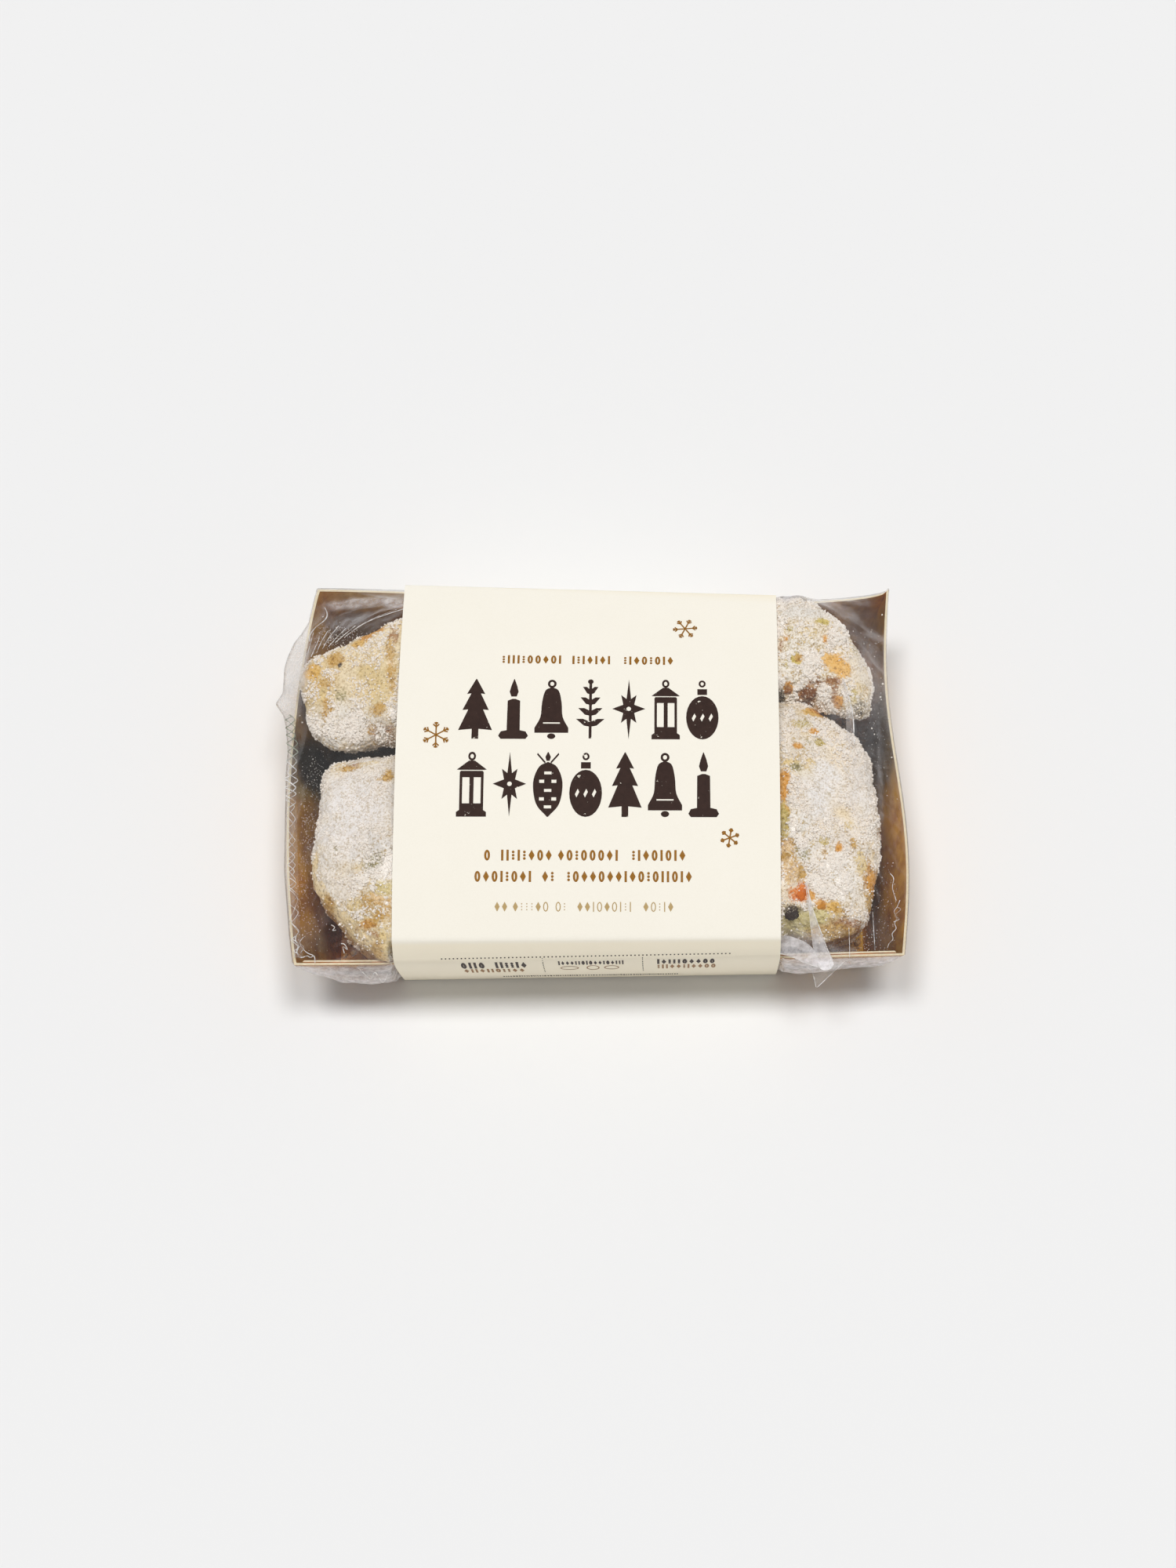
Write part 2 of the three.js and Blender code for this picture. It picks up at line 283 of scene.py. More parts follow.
class Finish(Nodes):
    """A material made of nodes."""

    def __init__(self, name):
        self.material = bpy.data.materials.new(name)
        self.material.use_nodes = True
        super().__init__(self.material.node_tree, "Object")

    def noise(self, size, detail=3.0, roughness=0.6):
        """Noise from 0 to 1 with lumps of about `size` millimetres."""
        scale = 1 / (size * MM)
        inputs = {"Vector": self.place, "Scale": scale, "Detail": detail, "Roughness": roughness}
        return self.add("TexNoise", inputs).outputs["Fac"]

    def cells(self, size):
        """The distance to the nearest of scattered spots about `size` millimetres apart."""
        return self.add("TexVoronoi", {"Vector": self.place, "Scale": 1 / (size * MM)}).outputs["Distance"]

    def field(self, name, output="Fac"):
        """A number, or with the output "Color" a colour, that the mesh gives for each point."""
        return self.add("Attribute", attribute_name=name).outputs[output]

    def mix(self, share, first, second, blend="MIX"):
        """A colour between two others."""
        inputs = {0: share, 6: first, 7: second}
        return self.add("Mix", inputs, data_type="RGBA", blend_type=blend).outputs[2]

    def bump(self, height, depth, normal=None):
        """A bump whose heights from 0 to 1 are `depth` millimetres apart."""
        inputs = {"Height": height, "Distance": depth * MM, "Strength": 1.0}
        if normal:
            inputs["Normal"] = normal
        return self.add("Bump", inputs).outputs["Normal"]

    def blend(self, share, first, second):
        """A shader between two others."""
        return self.add("MixShader", {0: share, 1: first, 2: second}).outputs[0]

    def surface(self, shader):
        """The finished material with this shader."""
        self.add("OutputMaterial", {"Surface": shader})
        return self.material

    def principled(self, **inputs):
        """The finished material, with inputs such as base_color."""
        return self.surface(self.plain(**inputs))

    def plain(self, **inputs):
        """The same shader on its own, to be blended with others."""
        named = {name.replace("_", " ").title().replace("Ior", "IOR"): inputs[name] for name in inputs}
        return self.add("BsdfPrincipled", named).outputs["BSDF"]


def gold_card_finish():
    """Gold-coated card: metal that is mottled, a little dull and faintly uneven, with painted shade and
    painted reflections in the mesh's tone.
    """
    made = Finish("gold_card")
    stains = made.spread(made.noise(7.0, 5.0, 0.7), 0.35, 0.68)
    fine = made.noise(1.2, 2.0)
    tone = made.field("tone", "Color")
    base = made.mix(stains, tone, made.mix(1.0, tone, color("c8b090"), "MULTIPLY"))
    rough = made.spread(fine, 0.3, 0.7, 0.16, 0.27)
    normal = made.bump(made.noise(3.2, 2.0), 0.06)
    return made.principled(base_color=base, metallic=0.62, roughness=rough, normal=normal)


def cut_edge_finish():
    """The pale cut edge of the card."""
    made = Finish("card_cut_edge")
    base = made.mix(made.noise(0.8, 3.0), color("f2ead2"), color("d6c094"))
    return made.principled(base_color=base, roughness=0.8)


def sleeve_card_finish():
    """Smooth cream card with faint fibres, with painted warm shade on the side panels below the top's
    folds.
    """
    made = Finish("cream_card")
    cloud = made.noise(14.0, 3.0)
    base = made.mix(cloud, color("f8f3e7"), color("f5f0e3"))
    base = made.mix(made.spread(made.noise(0.5, 2.0), 0.35, 0.75, 0.0, 0.05), base, color("d8ccb0"))
    # Painted shade: the side panels below the folds are warmer and a little darker.
    height = made.add("SeparateXYZ", {"Vector": made.place}).outputs["Z"]
    painted_side_shade = made.spread(height, 42.5 * MM, 44.5 * MM, 0.4, 0.0)
    base = made.mix(painted_side_shade, base, color("f2e2bc"))
    normal = made.bump(made.noise(0.35, 2.0), 0.006)
    return made.principled(base_color=base, roughness=0.62, specular_ior_level=0.3, normal=normal)


def brown_ink_finish():
    """Dark brown ink, mottled and chipped where it missed the card."""
    made = Finish("brown_ink")
    ink = made.mix(made.noise(1.6, 4.0), color("3c2a24"), color("251814"))
    chips = made.spread(made.noise(3.4, 6.0, 0.72), 0.655, 0.675)
    specks = made.spread(made.noise(0.7, 3.0), 0.72, 0.76)
    bare = made.math("MAXIMUM", chips, specks)
    base = made.mix(bare, ink, color("f6f0e0"))
    return made.principled(base_color=base, roughness=0.6, specular_ior_level=0.3)


def ink_finish(name, code):
    """A thin coloured ink whose cover varies a little."""
    made = Finish(name)
    weak = tuple(0.75 * part + 0.22 for part in color(code))
    base = made.mix(made.spread(made.noise(0.6, 3.0), 0.45, 0.8, 0.0, 0.25), color(code), weak)
    return made.principled(base_color=base, roughness=0.5)


def bite_finish():
    """Golden crumb under sugar; the mesh says where the sugar lies and what shows elsewhere."""
    made = Finish("sugared_crumb")
    tone, sugar = made.field("tone", "Color"), made.field("sugar")
    white = made.field("sugar_tone", "Color")
    pores = made.noise(0.9, 3.0, 0.7)
    dark_crumb = made.mix(1.0, tone, color("b6a888"), "MULTIPLY")
    light_crumb = made.mix(0.4, tone, color("f0dcb0"))
    crumb = made.mix(made.spread(pores, 0.34, 0.5), dark_crumb, tone)
    crumb = made.mix(made.spread(pores, 0.5, 0.66), crumb, light_crumb)
    grains = made.cells(0.8)
    fine = made.noise(0.6, 2.0, 0.7)
    patchy = made.noise(2.2, 4.0, 0.75)
    coarse = made.field("coarse")
    clumps = made.math("MULTIPLY", coarse, made.math("SUBTRACT", made.noise(1.3, 4.0, 0.8), 0.5))
    roughly = made.math("MULTIPLY_ADD", coarse, 1.6, 1.0)
    uneven = made.math("MULTIPLY", roughly, made.math("SUBTRACT", made.math("ADD", patchy, fine), 1.0))
    cover = made.math("ADD", made.math("ADD", sugar, clumps), uneven)
    mask = made.spread(cover, -0.12, 0.6, 0.0, 0.97)
    # Painted shade between the sugar's clumps, deeper where the sugar is coarse; the clumps' tops are
    # painted lighter where `lit` is high.
    shade = made.mix(1.0, white, made.mix(coarse, color("d2c6b2"), color("bcac8c")), "MULTIPLY")
    lit = made.math("ADD", made.math("ADD", fine, clumps), made.math("MULTIPLY", patchy, 0.5))
    coat = made.mix(made.spread(lit, 0.5, 0.85), shade, white)
    base = made.mix(mask, crumb, coat)
    normal = made.bump(made.noise(1.5, 3.0, 0.7), 0.22)
    normal = made.bump(made.math("MULTIPLY", grains, mask), -0.2, normal)
    rough = made.spread(mask, 0.0, 1.0, 0.62, 0.78)
    return made.principled(base_color=base, roughness=rough, specular_ior_level=0.45, normal=normal)


def film_finish():
    """Clear film: a mirror at grazing angles, with milky places, painted sheen and painted shade that the
    mesh marks.
    """
    made = Finish("clear_film")
    normal = made.bump(made.noise(1.5, 3.0), 0.05)
    gloss = {"Color": (1.0, 1.0, 1.0), "Roughness": 0.09, "Normal": normal}
    mirror = made.add("BsdfGlossy", gloss).outputs[0]
    clear = made.add("BsdfTransparent", {"Color": (0.985, 0.985, 0.985)}).outputs[0]
    facing = made.add("LayerWeight", {"Blend": 0.5, "Normal": normal}).outputs["Facing"]
    edge_on = made.math("MULTIPLY_ADD", made.math("POWER", facing, 4.0), 0.85, 0.05)
    skin = made.blend(edge_on, clear, mirror)
    # Painted shade darkens the milk where the mesh marks it.
    tint = made.mix(made.field("painted_milk_shade"), color("efebec"), color("dad5d0"))
    milk = made.add("BsdfDiffuse", {"Color": tint, "Normal": normal}).outputs[0]
    cloudy = made.spread(made.noise(2.4, 4.0, 0.65), 0.25, 0.75, 0.45, 1.5)
    milk_and_painted_sheen = made.math("MULTIPLY", made.field("milk_and_painted_sheen"), cloudy)
    return made.surface(made.blend(milk_and_painted_sheen, skin, milk))


def film_edge_and_highlight_finish():
    """The cut edges of the film, and painted highlights along its sharp creases."""
    made = Finish("film_edges_and_highlights")
    milk = made.plain(base_color=made.field("tone", "Color"), roughness=0.2)
    clear = made.add("BsdfTransparent").outputs[0]
    share = made.spread(made.noise(2.6, 3.0), 0.36, 0.64, 0.12, 0.92)
    return made.surface(made.blend(share, clear, milk))


def fruit_finish():
    """Candied fruit: sticky, uneven, with sugar caught on it."""
    made = Finish("candied_fruit")
    tone = made.field("tone", "Color")
    deep = made.mix(1.0, tone, color("ccb486"), "MULTIPLY")
    base = made.mix(made.noise(1.3, 3.0), deep, tone)
    speckled = made.math("MULTIPLY_ADD", made.noise(1.1, 4.0, 0.8), 1.9, -0.45)
    dusted = made.spread(made.math("ADD", speckled, made.field("sugar")), 0.8, 1.05, 0.0, 0.9)
    base = made.mix(dusted, base, color("f0e4d0"))
    rough = made.spread(dusted, 0.0, 1.0, 0.42, 0.75)
    normal = made.bump(made.noise(1.0, 4.0, 0.7), 0.5)
    return made.principled(base_color=base, roughness=rough, specular_ior_level=0.3, normal=normal)


def sugar_grain_finish():
    """Single crystals of sugar, paler and darker from grain to grain."""
    made = Finish("sugar_grains")
    base = made.mix(made.noise(1.1, 2.0), color("efe4d8"), color("fffaf2"))
    return made.principled(base_color=base, roughness=0.24, specular_ior_level=0.6)


def crumb_finish():
    """Loose crumbs, paler and darker from place to place."""
    made = Finish("loose_crumbs")
    base = made.mix(made.noise(1.0, 3.0), color("a86f38"), color("dcb883"))
    return made.principled(base_color=base, roughness=0.8, normal=made.bump(made.noise(0.5), 0.15))


def floor_finish():
    """A plain pale floor."""
    made = Finish("pale_floor")
    return made.principled(base_color=color("eeeeee"), roughness=0.9, specular_ior_level=0.1)


# ---------------------------------------------------------------- tray

def tray_corner(index, share, offset=0.0):
    """A corner of the tray at height share 0..1, moved outward by `offset` on both sides."""
    index %= 4
    place = TRAY_BASE[index] + (TRAY_RIM[index] - TRAY_BASE[index]) * share
    return place + np.sign(place) * offset


def wall_line(wall, t, share, offset=0.0):
    """Points along one wall at places t from corner to corner."""
    start, end = tray_corner(wall, share, offset), tray_corner(wall + 1, share, offset)
    along = (end - start) / np.linalg.norm(end - start)
    outward = np.array([along[1], -along[0]])
    bend = TRAY_BOWS[wall](t) * share**2
    return start + np.outer(t, end - start) + np.outer(bend, outward)


def wall_ring(share, offset, steps):
    """A ring of points round the four walls, with a number of steps for each wall."""
    lines = [wall_line(wall, np.arange(n) / n, share, offset) for wall, n in enumerate(steps)]
    return np.concatenate(lines)


def wall_z(share):
    """The height at a share of the walls' height."""
    return TRAY_BASE_Z + TRAY_HEIGHT * share


def wall_place(wall, at, share):
    """Where a wall stands at height share `share`: its y at a given x, or its x at a given y."""
    along, across = (0, 1) if wall in (FRONT, BACK) else (1, 0)
    start, end = (
        TRAY_BASE[i] + np.multiply.outer(share, TRAY_RIM[i] - TRAY_BASE[i]) for i in (wall, (wall + 1) % 4)
    )
    t = np.clip((at - start[..., along]) / (end[..., along] - start[..., along]), 0, 1)
    line = start[..., across] + (end[..., across] - start[..., across]) * t
    return line + np.sign(line) * TRAY_BOWS[wall](t) * share**2


# Where the gold is duller, darker or brighter, as painted shade and painted reflections: a place, half
# sizes, a colour and how much of it.
GOLD_TONE = "ffca50"
GOLD_PAINTED_SHADE_AND_REFLECTIONS = (
    ((-83, 6.5, 14), (9, 11.5, 30), "15110f", 0.97), ((-76, 6, 4), (9, 10, 12), "15110f", 0.95),
    ((-85, 25, 20), (7, 11, 24), "6a4c30", 0.75), ((-73, 20, 4), (8, 16, 10), "3a2a1c", 0.8),
    ((-77, -14, 10), (5, 14, 12), "6a4820", 0.8), ((-84, -16, 22), (4, 12, 8), "b88c48", 0.5),
    ((-74, -42, 10), (6, 8, 12), "c8782c", 0.8), ((-70, -52, 12), (8, 5, 16), "d47c24", 0.85),
    ((-60, -54, 14), (8, 5, 20), "8a5a2c", 0.5), ((-85.6, -27.6, 18), (1.6, 5, 8), "f4dcae", 0.8),
    ((-82.3, -35.1, 14), (2.2, 5, 6), "f0d6a8", 0.8),
    ((-79.0, -46.1, 16), (2.4, 3.4, 8), "ecd0a0", 0.7), ((-87, -12, 22), (2, 4, 6), "f8dc9c", 0.6),
    ((-86, -3, 24), (2.4, 3.4, 7), "fadf9c", 0.6), ((-84, -50, 24), (3, 5, 8), "f4d088", 0.7),
    ((-70, 54, 18), (17, 7, 11), "5c4434", 0.7), ((-72, 60.5, 30), (16, 3.4, 4.6), "ffdc88", 0.95),
    ((-82, 57, 24), (3, 6, 12), "dca444", 0.8), ((84, 15, 10), (5.5, 13, 26), "7a4430", 0.8),
    ((88, 24, 20), (5, 24, 24), "7c6a56", 0.7), ((80, 20, 4), (6, 14, 8), "5c3424", 0.8),
    ((84, -24, 8), (4, 14, 12), "94682c", 0.45), ((82, -44, 12), (7, 7, 14), "d09840", 0.6),
    ((87, -46, 22), (4, 8, 12), "e4ac50", 0.7), ((74, -52, 12), (9, 5, 18), "a06c30", 0.6),
    ((84, 52, 20), (6, 9, 12), "a88458", 0.6), ((80, 60, 26), (7, 4, 8), "c08850", 0.5),
    ((60, 56, 20), (14, 6, 14), "5c4634", 0.6), ((89, 38, 24), (4, 7, 12), "8c7458", 0.5),
)


def gold_tones_with_painted_shade_and_reflections(points):
    """The gold's tone point by point, with ragged spots of painted shade and painted reflection."""
    ragged = 0.5 * layered_noise(points, 8, 81, 3)
    tones = np.tile(color(GOLD_TONE), (len(points), 1))
    for middle, half_sizes, code, amount in GOLD_PAINTED_SHADE_AND_REFLECTIONS:
        away = np.linalg.norm((points - middle) / np.array(half_sizes, float), axis=1)
        tones = toward(tones, code, amount * smooth_step(1.35, 0.55, away + ragged))
    return tones


# How many points the tray has along each wall and up it.
TRAY_STEPS = (150, 104, 150, 104)
TRAY_ROWS = 23
# The lip's section as depth behind the wall and height, and which of its sides is a cut edge.
LIP_PROFILE = ((0.5, 32.3), (0.92, 32.3), (0.92, 32.95), (1.4, 32.95), (1.4, 31.0), (0.5, 31.0))
LIP_EDGE = 2
FLOOR_RINGS = (0.05, 0.5)


def tray_lip():
    """The doubled card along the front rim, with a groove between its two cut edges."""
    t = np.linspace(0.008, 0.992, TRAY_STEPS[FRONT])
    rows = []
    for depth, z in LIP_PROFILE:
        rows.append(at_height(wall_line(FRONT, t, (z - TRAY_BASE_Z) / TRAY_HEIGHT, -depth), z))
    points = np.stack(rows, 1).reshape(-1, 3)
    count = len(LIP_PROFILE)
    faces = band_faces(len(t), count)
    picks = np.arange(len(faces)) % count == LIP_EDGE
    return points, faces, picks.astype(int), end_caps(len(t), count)


def make_tray(gold, cut_edge):
    """The tray: its floor and walls from below, over the rim and down the inside, and its lip."""
    shares = np.linspace(0, 1, TRAY_ROWS)
    floor_share = TRAY_CARD / TRAY_HEIGHT
    count = sum(TRAY_STEPS)
    rings = [at_height(wall_ring(0, 0, TRAY_STEPS) * shrink, TRAY_BASE_Z) for shrink in FLOOR_RINGS]
    rings += [at_height(wall_ring(share, 0, TRAY_STEPS), wall_z(share)) for share in shares]
    outer_rows = len(rings)
    for share in np.maximum(shares[::-1], floor_share):
        rings.append(at_height(wall_ring(share, -TRAY_CARD, TRAY_STEPS), wall_z(share)))
    for shrink in FLOOR_RINGS[::-1]:
        rings.append(at_height(wall_ring(0, -TRAY_CARD, TRAY_STEPS) * shrink, wall_z(floor_share)))
    walls = np.concatenate(rings)
    wall_picks = np.repeat(np.arange(len(rings) - 1) == outer_rows - 1, count).astype(int)
    lip, lip_faces, lip_picks, lip_caps = tray_lip()
    points = np.concatenate([walls, lip])
    faces = [*band_faces(len(rings), count).tolist(), *end_caps(len(rings), count)]
    faces += [[i + len(walls) for i in face] for face in [*lip_faces.tolist(), *lip_caps]]
    picks = [*wall_picks, 0, 0, *lip_picks, 0, 0]
    # The outside is plain gold but for the front, where the spots of painted shade and painted reflection
    # show through the film.
    outside = np.arange(len(points)) < outer_rows * count
    tones = toward(gold_tones_with_painted_shade_and_reflections(points), GOLD_TONE, outside * smooth_step(-56, -48, points[:, 1]))
    piece = add_mesh(
        "tray_card", points, faces, [gold, cut_edge],
        replaces=["tray"], picks=picks, fields={"tone": tones},
    )
    sharp_edges(piece, 40)


def sharp_edges(piece, degrees):
    """Keeps edges sharper than `degrees` crisp in the shading."""
    mesh = bmesh.new()
    mesh.from_mesh(piece.data)
    for edge in mesh.edges:
        if len(edge.link_faces) == 2:
            edge.smooth = edge.calc_face_angle(0) < math.radians(degrees)
    mesh.to_mesh(piece.data)
    mesh.free()


# ---------------------------------------------------------------- sleeve

def sleeve_point(name, u):
    """A named point of the sleeve's section, u from 0 at the left end to 1 at the right."""
    left, right = np.array(SLEEVE_ENDS[name])
    return left + np.multiply.outer(u, right - left)


def sleeve_side(side, u):
    """A side's base crease, knee and top fold."""
    return [sleeve_point(f"{side}_{part}", u) for part in ("base", "knee", "fold")]


def sleeve_share(x):
    """How far along the sleeve x is, from 0 to 1."""
    return (x + SLEEVE_HALF) / (2 * SLEEVE_HALF)


def side_panel(side, u):
    """A side panel from its base crease over the knee on the rim to the top fold."""
    base, knee, fold = sleeve_side(side, u)
    out = math.copysign(1.0, knee[0])
    low_middle = base + (knee - base) * 0.5 + [0.35 * out, 0.0]
    high_middle = knee + (fold - knee) * 0.5 + [0.9 * out if side == "front" else 0.0, 0.0]
    return smooth_curve([base, low_middle, knee, high_middle, fold], SIDE_STEPS)


def top_share(u, y):
    """How far y is from the front fold, where it is 0, to the back fold, where it is 1."""
    front, back = sleeve_point("front_fold", u)[..., 0], sleeve_point("back_fold", u)[..., 0]
    return (y - front) / (back - front)


def dome_z(u, share):
    """The top's height at a share of the way from the front fold to the back fold."""
    front, back = sleeve_point("front_fold", u)[..., 1], sleeve_point("back_fold", u)[..., 1]
    return front + (back - front) * share + SLEEVE_DOME * 4 * share * (1 - share)


def top_panel(u):
    """The domed top between its folds."""
    share = np.linspace(0, 1, TOP_STEPS + 1)[1:-1]
    front, back = sleeve_point("front_fold", u), sleeve_point("back_fold", u)
    return np.column_stack([front[0] + (back[0] - front[0]) * share, dome_z(u, share)])


def round_corners(outline, corners, radius):
    """Replaces each of the numbered corners of a closed outline with a short arc."""
    rounded = []
    for i, point in enumerate(outline):
        if i not in corners:
            rounded.append(point)
            continue
        ends = []
        for other in (outline[i - 1], outline[(i + 1) % len(outline)]):
            length = np.linalg.norm(other - point)
            ends.append(point + (other - point) / length * min(radius, 0.8 * length))
        for t in np.linspace(0, 1, 5):
            rounded.append((1 - t) ** 2 * ends[0] + 2 * t * (1 - t) * point + t**2 * ends[1])
    return np.array(rounded)


def sleeve_outline(u):
    """The sleeve's section, closed, as y and z."""
    front, back = side_panel("front", u), side_panel("back", u)[::-1]
    outline = np.concatenate([front, top_panel(u), back])
    corners = (0, len(front) - 1, len(front) + TOP_STEPS - 1, len(outline) - 1)
    return round_corners(outline, corners, SLEEVE_FOLD_RADIUS)


def inset(outline, depth):
    """A closed outline moved inward by `depth`."""
    into = outline - np.roll(outline, 1, axis=0)
    into /= np.linalg.norm(into, axis=1)[:, None]
    away = np.roll(into, -1, axis=0)
    normal = np.column_stack([into[:, 1] + away[:, 1], -into[:, 0] - away[:, 0]])
    normal /= np.linalg.norm(normal, axis=1)[:, None]
    cosine = normal[:, 0] * into[:, 1] - normal[:, 1] * into[:, 0]
    return outline + normal * (depth / cosine)[:, None]


def make_sleeve(card, cut_edge):
    """The sleeve: rings along its outside and back along its inside."""
    outer, inner = [], []
    for u in np.linspace(0, 1, SLEEVE_COLUMNS):
        x = -SLEEVE_HALF + 2 * SLEEVE_HALF * u
        outline = sleeve_outline(u)
        for rings, ring in ((outer, outline), (inner, inset(outline, SLEEVE_CARD))):
            rings.append(np.column_stack([np.full(len(ring), x), ring]))
    rings = [*outer, *inner[::-1]]
    count = len(rings[0])
    faces = band_faces(len(rings), count, wrap_rows=True)
    row = np.repeat(np.arange(len(rings)), count)
    picks = np.isin(row, (len(outer) - 1, len(rings) - 1)).astype(int)
    piece = add_mesh(
        "sleeve_card", np.concatenate(rings), faces[:, ::-1], [card, cut_edge],
        replaces=["sleeve"], picks=picks,
    )
    sharp_edges(piece, 50)


# ---------------------------------------------------------------- stollen bites

CRUMB_TONES = {
    "crumb": "e6cc92", "golden": "c69a48", "orange": "dc9a34", "brown": "a06c3a", "dark": "34261f",
    "deep": "84501e", "green": "948a58", "olive": "c6b060", "yellow": "d2bc62", "honey": "e2b45c",
    "apricot": "f0bc64", "red": "e87c00", "crust": "f4dcac", "lime": "dacc90", "amber": "c48c38",
}
# What shade and damp crumb make of the sugar's colour.
SUGAR_SHADE = (0.88, 0.89, 0.93)
SOAKED_SUGAR = (0.93, 0.84, 0.62)
# The kinds that are smooth pieces of fruit.
FRUIT_KINDS = ("orange", "honey", "apricot", "yellow", "red", "dark")
BITE_BASE_Z = 2.6
# How far the bites stay off the tray and the sleeve, and how far from the middle the sleeve
# still holds things down.
BITE_TRAY_GAP = 0.8
BITE_SLEEVE_GAP = 0.9
SLEEVE_REACH = 56.5
# How finely the bites under the sleeve and those at its ends are divided.
HIDDEN_DETAIL = 6
SHOWN_DETAIL = 7


class Bite(NamedTuple):
    """One bite, with a seed for its lumps."""

    outline: tuple  # seen from above
    top: float
    sleeve_top: float  # the height that it rises to under the sleeve
    belly: float  # the height of its widest line
    squareness: float  # of its section there
    slant: float  # how far its front slants back below that line
    coarse: float  # how coarse its sugar is, from 0 to 1
    sugar: str  # its sugar's colour
    seed: int


BITES = {
    "bite_back_1": Bite(
        ((-57.7, 46), (-62.4, 44), (-67.2, 42.2), (-72.1, 39.6), (-77.2, 37.3), (-81.8, 35), (-85, 32.2),
         (-85.8, 28.7), (-85.5, 25), (-84.2, 21.2), (-83.4, 17.4), (-81.9, 13.6), (-79.8, 10.1),
         (-76.6, 7.3), (-71.4, 6.4), (-65.1, 6.8), (-58.4, 7.8), (-45.5, 7.6), (-45.5, 50)),
        45.5, 48.5, 38, 2.9, 0.46, 0.3, "f3e2c0", 1,
    ),
    "bite_front_1": Bite(
        ((-58, 5), (-62.7, 4.9), (-67.2, 4), (-71.3, 3.0), (-75.2, 1.8), (-78.2, -1.3), (-78.5, -7.5),
         (-78.3, -13.4), (-78.8, -19.3), (-80.1, -24.7), (-80.4, -30.1), (-79, -35.1), (-76.7, -39.9),
         (-73.4, -43.9), (-69.7, -47.7), (-66, -51.4), (-62, -54.4), (-58.1, -56.5), (-44, -55), (-44, 5)),
        45.0, 48.5, 34, 2.6, 0.0, 0.1, "f2e9dd", 2,
    ),
    "bite_back_4": Bite(
        ((59.8, 21.0), (69.1, 19.1), (77.2, 16.7), (80.9, 16.7), (82.3, 19), (82.8, 22.3), (82.8, 26.2),
         (82.6, 30.2), (81.8, 34.2), (79.8, 37.9), (77.4, 41.6), (74.7, 45.1), (71.8, 48.7), (68.4, 51.5),
         (64.1, 53.1), (59.7, 54.4), (44, 53.2), (44, 22.8)),
        46.5, 48.5, 38, 2.7, 0.46, 1.0, "fcefda", 3,
    ),
    "bite_front_4": Bite(
        ((56.5, 21.4), (61.6, 21.8), (67.0, 20.6), (71.8, 16.4), (75.8, 12.2), (79.7, 8.6), (82.2, 4.0),
         (82.5, -1.4), (83.6, -6.4), (84.7, -11.5), (84.7, -16.9), (84.1, -22.5), (83.7, -28.1),
         (83.1, -33.8), (82.4, -39.2), (80.8, -43.7), (78.3, -47.5), (74.4, -49.4), (69.5, -50.9),
         (63.8, -51), (57.6, -49.3), (44, -50), (44, 19.5)),
        46.0, 49.0, 34, 2.6, 0.0, 0.6, "faefe0", 4,
    ),
    "bite_front_2": Bite(
        ((-42.4, -55), (-2.6, -54), (-2, 4.6), (-41.8, 4.2)), 49.2, 49.6, 29, 2.7, 0.0, 0.3, "e9dfd2", 5,
    ),
    "bite_front_3": Bite(
        ((1.4, -53), (42.6, -54), (42, 8.2), (1, 7.6)), 49.4, 49.6, 29, 2.7, 0.0, 0.4, "e9dfd2", 6,
    ),
    "bite_back_2": Bite(
        ((-43, 8.6), (-2.6, 8.2), (-2.4, 53.6), (-43.6, 53.2)), 49.2, 49.6, 29, 2.7, 0.0, 0.3, "e9dfd2", 7,
    ),
    "bite_back_3": Bite(
        ((0.8, 11.6), (41.4, 11.8), (41.4, 52.2), (0.2, 52.4)), 49.0, 49.4, 29, 2.7, 0.0, 0.4, "e9dfd2", 8,
    ),
}

